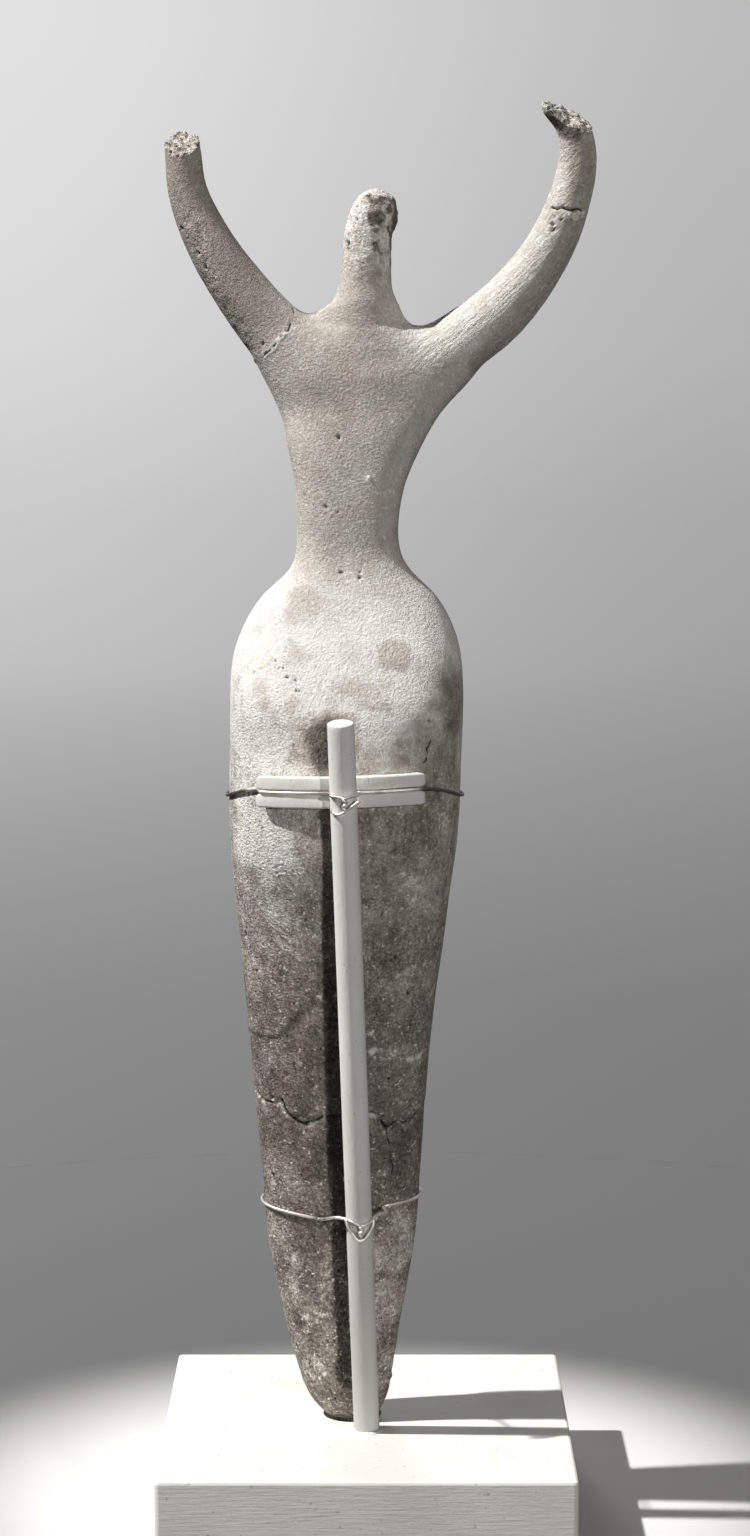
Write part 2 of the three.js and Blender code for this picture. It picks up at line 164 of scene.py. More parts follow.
def noise(points, size, seed):
    """Smooth noise from -1 to 1: random numbers at the corners of cells of the given size, eased between."""
    scaled = points / size
    cells = np.floor(scaled)
    share = scaled - cells
    share = share * share * (3 - 2 * share)
    total = 0.0
    for corner in np.ndindex(2, 2, 2):
        corner = np.array(corner)
        weight = np.prod(np.where(corner == 1, share, 1 - share), axis=-1)
        total = total + weight * lattice(cells + corner, seed)
    return 2 * total - 1


def layered(points, size, seed, layers=3):
    """Noise at the given size, with finer layers at half the size and half the height each."""
    total = sum(noise(points, size / 2 ** i, seed + i) / 2 ** i for i in range(layers))
    return total / (2 - 0.5 ** (layers - 1))


def nearest_spot(points, size, seed, share):
    """Distance to the nearest of scattered points, one in a share of the cells, and a random number for it."""
    cells = np.floor(points / size)
    nearest = np.full(len(points), 9.0 * size)
    number = np.zeros(len(points))
    for offset in np.ndindex(3, 3, 3):
        cell = cells + np.array(offset) - 1
        place = np.stack([lattice(cell, seed + axis) for axis in range(3)], axis=-1)
        away = np.linalg.norm(points - (cell + place) * size, axis=-1)
        away = np.where(lattice(cell, seed + 3) < share, away, 9.0 * size)
        number = np.where(away < nearest, lattice(cell, seed + 4), number)
        nearest = np.minimum(nearest, away)
    return nearest, number


def ease(low, high, value):
    """0 up to low and 1 from high on, on a smooth step."""
    t = np.clip((value - low) / (high - low), 0, 1)
    return t * t * (3 - 2 * t)


# The form of the clay as a distance, as in the solid but for its squareness and the hollows at neck and shoulders
def rows_at(rows, levels):
    """Rows at any level, on cubic curves whose slope at a row is that from the row before to the row after."""
    last = len(rows) - 1
    low, high = rows[np.maximum(np.arange(last + 1) - 1, 0)], rows[np.minimum(np.arange(last + 1) + 1, last)]
    slopes = (high - low) / (high[:, :1] - low[:, :1])
    value = np.clip(levels, rows[0, 0], rows[-1, 0])
    i = np.clip(np.searchsorted(rows[:, 0], value) - 1, 0, last - 1)
    span = (rows[i + 1, 0] - rows[i, 0])[:, None]
    t = (value - rows[i, 0])[:, None] / span
    rise = t * t * (3 - 2 * t) * (rows[i + 1] - rows[i])
    return rows[i] + rise + span * t * (1 - t) * ((1 - t) * slopes[i] - t * slopes[i + 1])


def smooth_line(points, steps):
    """A curve through rows of numbers, spaced by the square root of the distance in their first three."""
    points = np.asarray(points, float)
    ends = np.vstack([2 * points[0] - points[1], points, 2 * points[-1] - points[-2]])
    gaps = np.sqrt(np.linalg.norm(np.diff(ends[:, :3], axis=0), axis=1))
    t = (np.arange(steps) / steps)[:, None]
    made = []
    for i in range(len(points) - 1):
        a, b, c, d = ends[i:i + 4]
        before, here, after = gaps[i:i + 3]
        start = ((b - a) / before - (c - a) / (before + here) + (c - b) / here) * here
        end = ((c - b) / here - (d - b) / (here + after) + (d - c) / after) * here
        square, cube = 3 * (c - b) - 2 * start - end, 2 * (b - c) + start + end
        made.append(b + start * t + square * t ** 2 + cube * t ** 3)
    return np.vstack([*made, points[-1:]])


LIMB_STEPS = 4
LEFT_ARM_LINE, RIGHT_ARM_LINE, HEAD_LINE, BEAK_LINE = (
    smooth_line(rows, LIMB_STEPS) for rows in (LEFT_ARM, RIGHT_ARM, HEAD, BEAK))


def limb_distance(points, line):
    """Distance to a chain of tapering round rods, with radii in the line's last column."""
    nearest = np.full(len(points), np.inf)
    for start, end in zip(line[:-1], line[1:]):
        along = end[:3] - start[:3]
        t = np.clip((points - start[:3]) @ along / (along @ along), 0, 1)
        away = np.linalg.norm(points - start[:3] - t[:, None] * along, axis=1)
        nearest = np.minimum(nearest, away - start[3] - t * (end[3] - start[3]))
    return nearest


def trunk_section(levels):
    """The trunk's middle x and y and its half-sizes at each level, closed by a dome at each end."""
    _, x, wide, y, deep = rows_at(TRUNK, levels).T
    from_tip = np.clip(levels / TIP_DOME, 0.001, 1)
    from_top = np.clip((TRUNK[-1, 0] - levels) / SHOULDER_DOME, 0.001, 1)
    close = np.sqrt((1 - (1 - from_tip) ** 2) * (1 - (1 - from_top) ** 2))
    return x, y, wide * close, deep * close


def trunk_distance(points):
    """Distance to the trunk: its sections are ellipses made slightly square by a power above 2."""
    x, y, wide, deep = trunk_section(points[:, 2])
    power = np.interp(points[:, 2] / HUNDREDTH, SQUARENESS[:, 0], SQUARENESS[:, 1])
    u = np.maximum(np.abs(points[:, 0] - x), 0.05) / wide
    v = np.maximum(np.abs(points[:, 1] - y), 0.05) / deep
    reach = (u ** power + v ** power) ** (1 / power)
    slope = np.hypot((u / reach) ** (power - 1) / wide, (v / reach) ** (power - 1) / deep)
    past = np.maximum(-points[:, 2], points[:, 2] - TRUNK[-1, 0])
    return np.maximum((reach - 1) / slope, past)


def joined(first, second, size):
    """Union of two distances, with a hollow of the given size where they meet."""
    overlap = np.clip(size - np.abs(first - second), 0, None) / size
    return np.minimum(first, second) - overlap * overlap * size / 4


def cutter_distance(points, at, facing):
    """Distance to the room in front of a break, whose face is rough."""
    facing = facing / np.linalg.norm(facing)
    forward = (points - at) @ facing
    aside = np.linalg.norm(points - at - forward[:, None] * facing, axis=1)
    rough = BREAK_ROUGHNESS * (noise(points, 2.3, 41) + 0.6 * noise(points, 1.0, 42))
    return np.maximum(np.maximum(rough - forward, aside - BREAK_REACH), forward - 2 * BREAK_REACH)


UPPER_BODY = 70 * HUNDREDTH


def clay_distance(points):
    """Distance to the whole clay figure, arms broken off."""
    distance = trunk_distance(points)
    high = points[:, 2] > UPPER_BODY
    upper = points[high]
    body = distance[high]
    for line, size in ((LEFT_ARM_LINE, ARM_BLEND), (RIGHT_ARM_LINE, ARM_BLEND), (HEAD_LINE, NECK_BLEND),
                       (BEAK_LINE, BEAK_BLEND)):
        body = joined(body, limb_distance(upper, line), size)
    for mound in BREASTS:
        body = joined(body, np.linalg.norm(upper - mound[:3], axis=1) - mound[3], BREAST_BLEND)
    for at, facing in BREAKS:
        body = np.maximum(body, -cutter_distance(upper, at, facing))
    distance[high] = body
    return distance


def slope_of(points, distance, probe=0.05):
    """How fast a distance grows along each axis."""
    return np.stack([
        (distance(points + probe * axis) - distance(points - probe * axis)) / (2 * probe) for axis in np.eye(3)
    ], axis=1)


def slide(points, distance, steps=3):
    """Points moved down the slope of a distance until they are on its surface."""
    for _ in range(steps):
        slope = slope_of(points, distance)
        points = points - slope * (distance(points) / np.maximum((slope ** 2).sum(1), 0.2))[:, None]
    return points


def skin_of(distance, low, high, cell):
    """Closed skin of a solid given by a distance.

    One corner in each cell that the surface crosses, at the mean of the crossings on the cell's edges, and one
    four-sided face around each grid edge that the surface crosses. Far from the surface only every fourth grid
    point is worked out.
    """
    coarse = 4
    counts = (np.ceil((high - low) / (cell * coarse)).astype(int) + 1) * coarse
    rough = np.stack(np.meshgrid(*(np.arange(0, n, coarse) for n in counts), indexing="ij"), axis=-1)
    values = distance(low + cell * (rough.reshape(-1, 3) + (coarse - 1) / 2)).reshape(rough.shape[:3])
    for axis in range(3):
        values = np.repeat(values, coarse, axis=axis)
    close = np.argwhere(np.abs(values) < coarse * cell * 1.2)
    values[tuple(close.T)] = distance(low + cell * close)
    least = 0.1 * cell
    values = np.where(values < 0, np.minimum(values, -least), np.maximum(values, least))
    inside = values < 0
    shape = np.array(values.shape)
    count = np.zeros(shape - 1, int)
    for offset in np.ndindex(2, 2, 2):
        count += inside[tuple(slice(o, n - 1 + o) for o, n in zip(offset, shape))]
    cells = np.argwhere((count > 0) & (count < 8))
    number = np.full(shape, -1)
    number[tuple(cells.T)] = np.arange(len(cells))
    total, hits = np.zeros((len(cells), 3)), np.zeros(len(cells))
    faces = []
    for axis in range(3):
        one, two = (axis + 1) % 3, (axis + 2) % 3
        unit, side, other = np.eye(3, dtype=int)[[axis, one, two]]
        for a, b in np.ndindex(2, 2):
            start = cells + a * side + b * other
            near, far = values[tuple(start.T)], values[tuple((start + unit).T)]
            hit = (near < 0) != (far < 0)
            t = np.where(hit, near / np.where(hit, near - far, 1), 0)
            total += np.where(hit[:, None], start + t[:, None] * unit, 0)
            hits += hit
        first = np.take(inside, range(shape[axis] - 1), axis)
        edges = np.argwhere(first != np.take(inside, range(1, shape[axis]), axis))
        ring = [number[tuple((edges - back).T)] for back in (0 * side, side, side + other, other)]
        ring = np.stack(ring, axis=1)
        outward = inside[tuple(edges.T)]
        faces.append(np.where(outward[:, None], ring, ring[:, ::-1]))
    return low + cell * total / hits[:, None], np.vstack(faces)


# Places on the clay that are known from the picture
def rays(pixels):
    """The way that each pixel of the picture looks from the camera."""
    pixels = np.asarray(pixels, float)
    focal = PICTURE_LENS / PICTURE_SENSOR * max(PICTURE_SIZE)
    forward = np.array([0, math.cos(CAMERA_DOWN), -math.sin(CAMERA_DOWN)])
    upward = np.array([0, math.sin(CAMERA_DOWN), math.cos(CAMERA_DOWN)])
    right = np.array([1.0, 0, 0])
    across = pixels[:, :1] - PICTURE_SIZE[0] / 2
    down = pixels[:, 1:2] - PICTURE_SIZE[1] / 2
    way = focal * forward + across * right - down * upward
    return way / np.linalg.norm(way, axis=1)[:, None]


def reached(pixels, distance):
    """Points where the pixels' rays meet the surface of a distance, each reached by stepping along its ray."""
    way = rays(pixels)
    start = CAMERA_AT - TIP
    travelled = np.full(len(way), 600.0)
    for _ in range(60):
        travelled += 0.8 * np.clip(distance(start + travelled[:, None] * way), -5, 40)
        travelled = np.minimum(travelled, 900)
    return start + travelled[:, None] * way


def on_clay(pixels):
    """Points of the clay's surface that the pixels show."""
    return reached(pixels, clay_distance)


def at_depth(pixels, depth):
    """Points where the pixels' rays reach the given y, measured from the tip."""
    start = CAMERA_AT - TIP
    way = rays(pixels)
    return start + way * ((np.asarray(depth, float) - start[1]) / way[:, 1])[:, None]


def around_front(start, end, waves, height, count=14):
    """A line over the clay's hidden side between two points, waving by the given height."""
    share = np.linspace(0, 1, count)
    levels = start[2] + (end[2] - start[2]) * share + height * np.sin(math.pi * share) * np.sin(waves * share)
    x, y, wide, deep = trunk_section(levels)
    first = math.atan2((start[1] - y[0]) / deep[0], (start[0] - x[0]) / wide[0])
    last = math.atan2((end[1] - y[-1]) / deep[-1], (end[0] - x[-1]) / wide[-1])
    angle = first + (last % (2 * math.pi) - first) * share
    points = np.stack([x + wide * np.cos(angle), y + deep * np.sin(angle), levels], axis=1)
    return slide(points, clay_distance)


def line_distance(points, line):
    """Distance from each point to a line of points, and how far it lies above the line."""
    nearest, above = np.full(len(points), np.inf), np.zeros(len(points))
    for start, end in zip(line[:-1], line[1:]):
        along = end - start
        t = np.clip((points - start) @ along / max(along @ along, 1e-9), 0, 1)
        away = points - start - t[:, None] * along
        distance = np.linalg.norm(away, axis=1)
        above = np.where(distance < nearest, away[:, 2], above)
        nearest = np.minimum(nearest, distance)
    return nearest, above


# Cracks and mends: the picture's pixels along each
LEG_CRACK = on_clay([(255, 1090), (259, 1096), (263, 1100), (270, 1103), (276, 1103), (281, 1101), (284, 1108),
                     (289, 1115), (296, 1120), (306, 1125), (318, 1120), (330, 1117), (345, 1118), (362, 1112),
                     (372, 1111), (378, 1113), (381, 1121), (385, 1129), (391, 1126), (397, 1121), (405, 1124),
                     (412, 1119), (418, 1111)])
LEG_CRACK = np.vstack([LEG_CRACK, around_front(LEG_CRACK[-1], LEG_CRACK[0], waves=9.0, height=4.0)])
LEG_LEDGE = on_clay([(246, 1022), (252, 1031), (262, 1037), (275, 1038), (286, 1032), (295, 1020), (304, 1008),
                     (314, 998), (322, 994), (337, 989)])
LEG_LEDGE_RIGHT = on_clay([(366, 1053), (376, 1052), (388, 1056), (400, 1057), (412, 1060), (424, 1052)])
HAIRLINE = on_clay([(386, 1130), (388, 1142), (391, 1156), (393, 1172)])
HIP_CRACK = on_clay([(431, 740), (428, 748), (428, 756), (424, 762)])
HIP_SLIT = on_clay([(251, 613), (255, 606)])
SHOULDER_MEND = on_clay([(293, 308), (294, 316), (291, 324), (288, 331), (282, 337), (276, 343), (269, 351),
                         (261, 358), (252, 360)])
SHOULDER_FILL = on_clay([(286, 335), (279, 341), (272, 348), (264, 356), (254, 360)])
FOREARM_MEND = on_clay([(552, 207), (557, 210), (562, 208), (568, 211), (575, 209), (582, 211), (590, 208)])
ROUND_THE_ARM = [3.0, 2.5, 0.6]
FOREARM_MEND = np.vstack([FOREARM_MEND, FOREARM_MEND[-1] + ROUND_THE_ARM])
FOREARM_FILL = on_clay([(560, 214), (567, 216), (575, 217), (583, 213)])
# The line of a painted shadow under the lip of the right hand's break
LIP_SHADE = on_clay([(551, 119), (559, 125), (567, 130), (574, 132)])

# Half-width and depth of each crack
CRACKS = [(LEG_CRACK, 0.36, 0.8), (HAIRLINE, 0.24, 0.4), (HIP_CRACK, 0.2, 0.25), (HIP_SLIT, 0.4, 0.8),
          (SHOULDER_MEND, 0.25, 0.35), (FOREARM_MEND, 0.26, 0.8)]

# Scratches: the picture's pixels at both ends
SCRATCHES = [on_clay([ends[:2], ends[2:]]) for ends in (
    (274, 868, 300, 862), (276, 874, 303, 869), (281, 858, 297, 884), (288, 852, 299, 876), (262, 905, 290, 930),
    (268, 920, 296, 944), (274, 938, 300, 958), (243, 920, 249, 944), (400, 892, 416, 880), (398, 976, 408, 971),
    (316, 1360, 326, 1374), (306, 1362, 314, 1378))]

# Pits: the picture's pixel at the middle, radius and depth, which is below zero for a lump
PITS = [
    (338, 437, 0.8, 0.7), (305, 495, 0.5, 0.25), (326, 508, 0.7, 0.35), (337, 512, 0.5, 0.3), (341, 573, 0.7, 0.4),
    (360, 577, 0.6, 0.5), (360, 572, 0.5, 0.4), (368, 478, 0.8, -0.3), (275, 661, 0.4, 0.3), (279, 669, 0.6, 0.4),
    (283, 668, 0.4, 0.3), (287, 677, 0.5, 0.4), (296, 680, 0.6, 0.5), (297, 691, 0.6, 0.4), (299, 692, 0.4, 0.4),
    (253, 674, 0.4, 0.3), (431, 720, 0.6, 0.5), (246, 934, 0.8, 0.9), (303, 915, 0.8, 0.4), (306, 920, 0.6, 0.3),
    (434, 939, 0.7, 0.5), (433, 945, 0.7, 0.5), (257, 972, 0.6, 0.4), (259, 980, 0.5, 0.4), (273, 1175, 0.9, 0.6),
    (395, 957, 0.7, 0.4), (391, 961, 0.6, 0.4), (295, 1247, 0.7, 0.4), (348, 243, 0.9, 0.8), (347, 248, 0.8, 0.7),
    (356, 218, 0.6, 0.5), (390, 228, 0.9, 0.6), (378, 243, 0.9, 0.5), (391, 236, 0.9, 0.6), (357, 208, 0.5, 0.5),
    (352, 226, 0.5, 0.4), (263, 344, 0.8, 0.4), (552, 224, 0.7, 0.7), (552, 229, 0.7, 0.8), (554, 218, 0.4, 0.4),
    (562, 221, 0.5, 0.5), (572, 220, 0.5, 0.4), (581, 217, 0.5, 0.5), (568, 213, 0.4, 0.3), (272, 1098, 0.7, 0.5),
    (385, 1127, 0.8, 0.7), (281, 1102, 0.7, 0.6), (376, 1113, 0.7, 0.6), (223, 322, 0.7, 0.5), (292, 304, 1.1, 0.9),
    (389, 1375, 1.7, -0.7), (306, 1379, 2.4, -0.4), (205, 268, 0.8, 0.6), (198, 254, 0.8, 0.6), (182, 229, 0.8, 0.5),
    (233, 345, 0.8, 0.5), (379, 1148, 0.5, 0.3),
]
PIT_POINTS = on_clay([pit[:2] for pit in PITS])

# Lightness by hundredths of the height, from 0 for black to 1 for white, and how strongly it is speckled
TONES = np.array([
    [0, 0.6, 1.2], [5, 0.62, 1.2], [12, 0.64, 1.2], [18, 0.6, 1.1], [23, 0.56, 0.9], [29, 0.58, 0.9],
    [36, 0.63, 0.9], [43, 0.72, 0.8], [48, 0.79, 0.7], [51, 0.87, 0.6], [55, 0.97, 0.4], [58, 1.0, 0.3],
    [63, 0.99, 0.25], [66, 0.91, 0.28], [69, 0.84, 0.3], [85, 0.83, 0.26], [100, 0.8, 0.3],
])

# Stains and pale places, and at (325, 742) a painted shadow beside the rod's top: the picture's pixel at the middle,
# radius, change of lightness and softness
STAINS_AND_SHADOW = [
    (396, 656, 4.8, -0.15, 0.2), (305, 604, 6.0, -0.1, 0.5), (395, 600, 6.0, -0.03, 0.7), (300, 655, 5.0, -0.05, 0.8),
    (374, 698, 6.5, -0.1, 0.8), (335, 690, 4.0, -0.06, 0.8), (325, 742, 9.0, -0.34, 0.7), (456, 700, 11.0, -0.3, 0.8),
    (430, 760, 13.0, -0.22, 0.8), (405, 840, 14.0, -0.1, 0.8), (258, 840, 15.0, 0.24, 0.8),
    (405, 1000, 16.0, 0.06, 0.9), (268, 905, 13.0, 0.12, 0.9), (256, 975, 9.0, 0.1, 0.9),
    (405, 1065, 14.0, 0.08, 0.8), (300, 930, 7.0, 0.07, 0.9), (284, 1160, 9.0, 0.07, 0.9),
    (320, 1150, 5.0, -0.08, 0.8), (286, 1235, 9.0, 0.09, 0.9), (420, 985, 9.0, 0.09, 0.9),
    (424, 900, 10.0, 0.09, 0.9), (312, 835, 5.0, -0.1, 0.9), (255, 770, 12.0, 0.08, 0.8),
    (285, 1190, 8.0, 0.07, 0.8), (280, 1040, 8.0, 0.05, 0.8), (395, 1245, 9.0, 0.17, 0.4),
    (388, 1300, 10.0, 0.15, 0.5), (400, 1150, 13.0, -0.05, 0.8), (300, 1110, 8.0, -0.04, 0.8),
    (340, 390, 14.0, -0.03, 0.8), (362, 320, 6.0, -0.04, 0.8),
]
STAIN_AND_SHADOW_POINTS = on_clay([stain[:2] for stain in STAINS_AND_SHADOW])

# Small pale flecks: the picture's pixel at the middle
FLECKS = on_clay([(316, 1090), (418, 1110), (400, 1122), (372, 1053), (366, 478), (320, 996), (372, 1034),
                  (273, 1183), (294, 1258), (296, 1288), (306, 1318), (281, 1101), (258, 1095), (418, 888),
                  (411, 900)])
FLECK_RADIUS = 0.7


def strip(points, line, radius, soft):
    """1 along a line, easing to 0 at a radius from it."""
    away, _ = line_distance(points, line)
    return 1 - ease(radius * (1 - soft), radius, away)


def bell(away, width, middle=0.0):
    """1 where a distance is at its middle value, falling off within a width on both sides."""
    return np.exp(-((away - middle) / width) ** 2)


# Painted shade: the line of the rod's cast shadow down the legs' back, and the shaded underside of the right arm
ROD_SHADOW_ON_LEGS = on_clay([(329, 812), (330, 900), (333, 1000), (336, 1100), (339, 1200), (342, 1300), (345, 1380)])
ARM_UNDERSIDE_SHADE = on_clay([(585, 150), (583, 185), (569, 240), (554, 272), (533, 300), (505, 335), (478, 362)])
# The left arm's chipped outer edge
ARM_EDGE = on_clay([(190, 215), (198, 245), (209, 275), (222, 300), (240, 330), (252, 352)])
ARM_EDGE_RADIUS = 3.6

# Painted shade, darker strips where shadow falls on the clay: line, radius, softness and how much darker
PAINTED_SHADES = [(ROD_SHADOW_ON_LEGS, 2.3, 0.25, 0.3), (ARM_UNDERSIDE_SHADE, 4.4, 0.6, 0.14)]

# Where the crust on the head starts and is full, and how far it spreads from the head's middle
HEAD_FROM = 85.5 * HUNDREDTH
HEAD_FULL = 91 * HUNDREDTH
HEAD_REACH = (14, 18)

# Where the arms start, and how far the left and the right one lie from the middle
ARMS_FROM, ARMS_FULL = 79 * HUNDREDTH, 82 * HUNDREDTH
LEFT_FULL, LEFT_FROM = -27, -11
RIGHT_PALE = (4, 20)
RIGHT_BRUSHED = (8, 20)

# Height and size of each kind of relief
WAVE_HEIGHT, WAVE_SIZE = 0.2, 14
GRAIN_HEIGHT, GRAIN_SIZE = 0.05, 2.4
CRUST_HEIGHT, CRUST_SIZE = 0.5, 1.9
CHIP_HEIGHT, CHIP_SIZE = 0.35, 2.0
CRUMB_HEIGHT, CRUMB_SIZE = 0.5, 1.5
CRUMB_HOLLOW = 0.7
HOLE_DEPTH, HOLE_SPACING, HOLE_SHARE = 0.25, 4.5, 0.35
RIDGE_HEIGHT, FURROW_DEPTH, SCRATCH_WIDTH = 0.16, 0.2, 0.35
FILLER_HEIGHT = 0.2

# Steps in the surface along a line: the upper side stands out by the given height
STEPS = [(LEG_LEDGE, 0.3), (LEG_LEDGE_RIGHT, 0.25), (LEG_CRACK, 0.2)]
STEP_REACH = 6
STEP_SLOPE = 0.7


def rough_places(points):
    """How far each point is part of a broken end, of the crusted head and of the left arm's chipped edge."""
    broken = np.zeros(len(points))
    for at, facing in BREAKS:
        broken = np.maximum(broken, 1 - ease(0.15, 0.7, cutter_distance(points, at, facing)))
    aside = np.abs(points[:, 0] - HEAD[2, 0])
    head = ease(HEAD_FROM, HEAD_FULL, points[:, 2]) * (1 - ease(*HEAD_REACH, aside))
    return broken, head, strip(points, ARM_EDGE, ARM_EDGE_RADIUS, 0.7)


def vectors(points, size, seed):
    """Three noises as one vector."""
    return np.stack([noise(points, size, seed + axis) for axis in range(3)], axis=1)


def relief_of(points, moved, broken, head, edge):
    """Heights of the clay's surface above the smooth form, and how deep in a crack or pit each point is."""
    height = WAVE_HEIGHT * layered(points, WAVE_SIZE, 1, 2) + GRAIN_HEIGHT * layered(points, GRAIN_SIZE, 4, 3)
    height += head * (CRUST_HEIGHT * layered(points, CRUST_SIZE, 21, 3) - 0.1)
    height += edge * (CHIP_HEIGHT * layered(points, CHIP_SIZE, 25, 3) - 0.15)
    away, _ = nearest_spot(points, CRUMB_SIZE, 47, 0.7)
    hollow = CRUMB_HOLLOW * (1 - ease(0.1, 0.6, away))
    height += broken * (CRUMB_HEIGHT * layered(points, CRUMB_SIZE, 43, 3) - hollow)
    crack = 0.85 * broken * (1 - ease(0.15, 0.7, away))
    for line, wide, deep in CRACKS:
        away, _ = line_distance(moved, line)
        groove = bell(away, wide * (1 + 0.6 * noise(points, 3.1, 31)))
        height -= deep * groove
        crack = np.maximum(crack, ease(0.25, 0.8, groove))
    for line, step in STEPS:
        away, above = line_distance(moved, line)
        height += step * (1 - ease(0, STEP_REACH, away)) * (ease(-STEP_SLOPE, STEP_SLOPE, above) - 0.5)
    away, _ = line_distance(moved, SHOULDER_FILL)
    height += FILLER_HEIGHT * (1 - ease(0.3, 0.9, away))
    for line in SCRATCHES:
        away, _ = line_distance(moved, line)
        height += RIDGE_HEIGHT * bell(away, 0.4, SCRATCH_WIDTH) - FURROW_DEPTH * bell(away, SCRATCH_WIDTH)
    for (_, _, radius, deep), middle in zip(PITS, PIT_POINTS):
        away = np.linalg.norm(moved - middle, axis=1) / radius
        height -= deep * (1 - ease(0.2, 1.15, away))
        if deep > 0:
            crack = np.maximum(crack, 0.8 * (1 - ease(0.2, 0.9, away)))
    away, number = nearest_spot(points, HOLE_SPACING, 51, HOLE_SHARE)
    hole = (1 - ease(0.1, 0.25 + 0.4 * number, away)) * ease(0.3, 0.7, number)
    return height - HOLE_DEPTH * hole, np.maximum(crack, 0.5 * hole)


# By hundredths of the height: how mottled the white paint is, and how strongly the legs are streaked
MOTTLE = np.array([[44, 0.3], [51, 1.0], [58, 0.8], [63, 0.2]])
DRIPS = np.array([[25, 0.3], [34, 0.7], [50, 1.0], [56, 0.2]])


def finish_of(points, moved, broken, head, edge):
    """The clay's lightness, with its painted shade and shadows, speckle and streaks at every point, and where pale
    filler lies in its mends.
    """
    level = points[:, 2] / HUNDREDTH + 1.2 * noise(points, 17, 61)
    light = np.interp(level, TONES[:, 0], TONES[:, 1])
    speckle = np.interp(level, TONES[:, 0], TONES[:, 2])
    light += 0.04 * layered(points, 16, 63, 3)
    light -= 0.13 * np.interp(level, *MOTTLE.T) * ease(0.0, 0.5, layered(points, 4.2, 77, 4))
    uneven = layered(points, 4.5, 66, 4)
    strayed = moved + vectors(points, 5, 64)
    # Stains and pale places, and the painted shadow beside the rod's top
    for (_, _, radius, change, soft), middle in zip(STAINS_AND_SHADOW, STAIN_AND_SHADOW_POINTS):
        away = np.linalg.norm(strayed - middle, axis=1) + 0.6 * soft * radius * uneven
        light += change * (1 - ease(radius * (1 - soft), radius, away))
    # Painted shade: the rod's cast shadow down the legs, and the shade under the right arm
    for line, radius, soft, darker in PAINTED_SHADES:
        light -= darker * strip(points, line, radius, soft)
    # Painted shadow under the lip of the right hand's break
    light -= 0.4 * strip(moved, LIP_SHADE, 3.0, 0.7)

    # The arms: the left one darker, the right one paler and brushed
    left_arm = ease(78 * HUNDREDTH, ARMS_FULL, points[:, 2]) * (1 - ease(LEFT_FULL, LEFT_FROM, points[:, 0]))
    raised = ease(ARMS_FROM, ARMS_FULL, points[:, 2])
    light += 0.08 * raised * ease(*RIGHT_PALE, points[:, 0]) - 0.1 * left_arm
    striae = raised * ease(*RIGHT_BRUSHED, points[:, 0])

    # The head: pale, with dark patches of crust, and darker towards its right as painted shade on its unlit side
    aside = points[:, 0] - HEAD[2, 0]
    light += 0.12 * head
    light -= 0.45 * head * ease(0.05, 0.35, 1.1 * layered(points, 3.4, 67, 4) + 0.07 * aside)
    speckle += 0.5 * head + 0.3 * left_arm * edge

    # The legs: a dark line along the left ledge, a painted shadow under its raised upper side; pale lines along the
    # ledges and below the crack, pale scratches and flecks
    away, above = line_distance(moved, LEG_LEDGE)
    light += 0.22 * bell(away, 1.1, 1.6) * (above < 0) * ease(-0.1, 0.4, noise(points, 2.0, 34))
    # Painted shadow along the left ledge
    light -= 0.14 * bell(away, 1.3) * ease(-0.4, 0.3, noise(points, 3.5, 37))
    away, _ = line_distance(moved, LEG_LEDGE_RIGHT)
    light += 0.4 * bell(away, 0.9) * ease(0.1, 0.5, noise(points, 1.6, 35))
    away, above = line_distance(moved, LEG_CRACK)
    light += 0.3 * bell(away, 0.7, 0.8) * ease(0.0, 0.4, noise(points, 3.0, 36)) * (above < 0)
    for line in SCRATCHES:
        light += 0.14 * bell(line_distance(moved, line)[0], 0.4, 0.3)
    for middle in FLECKS:
        light += 0.5 * bell(np.linalg.norm(moved - middle, axis=1), FLECK_RADIUS)

    filler = 1 - ease(0.45, 0.9, line_distance(moved, SHOULDER_FILL)[0])
    patch = 1 - ease(0.6, 1.3, line_distance(moved, FOREARM_FILL)[0])
    filler = np.maximum(filler, patch * ease(-0.2, 0.1, noise(points, 1.3, 69)))
    return {"lightness": light, "speckle": speckle / 2, "drips": np.interp(level, *DRIPS.T), "striae": striae,
            "filler": filler, "broken": broken}


SKIN_CELL = 1.0

# The two rounds of splitting: how near a crack, and the least crust or chipping, for a face to be split
SPLITS = ((1.6, 0.4), (0.8, 2.0))


def fine_places(points, within, least):
    """Where the mesh needs smaller faces: along cracks and mends, at pits, on the broken ends and the head."""
    near = np.zeros(len(points), bool)
    cracks = [row[0] for row in CRACKS]
    for line in (*cracks, LEG_LEDGE, LEG_LEDGE_RIGHT, FOREARM_FILL, SHOULDER_FILL, *SCRATCHES):
        near |= line_distance(points, line)[0] < within
    for (_, _, radius, _), middle in zip(PITS, PIT_POINTS):
        near |= np.linalg.norm(points - middle, axis=1) < radius + within / 3
    broken, head, edge = rough_places(points)
    return near | (broken > 0.2) | (head > least) | (edge > least)


def new_mesh(name, corners, faces):
    """An object at the origin, shaded smooth, with its corners given in millimetres."""
    mesh = bpy.data.meshes.new(name)
    mesh.from_pydata((np.asarray(corners) * MM).tolist(), [], [list(map(int, face)) for face in faces])
    mesh.update()
    mesh.polygons.foreach_set("use_smooth", np.full(len(mesh.polygons), True))
    made = bpy.data.objects.new(name, mesh)
    bpy.context.scene.collection.objects.link(made)
    return made


def corners_of(mesh):
    """A mesh's corners in millimetres, as one array."""
    flat = np.empty(len(mesh.vertices) * 3)
    mesh.vertices.foreach_get("co", flat)
    return flat.reshape(-1, 3) / MM


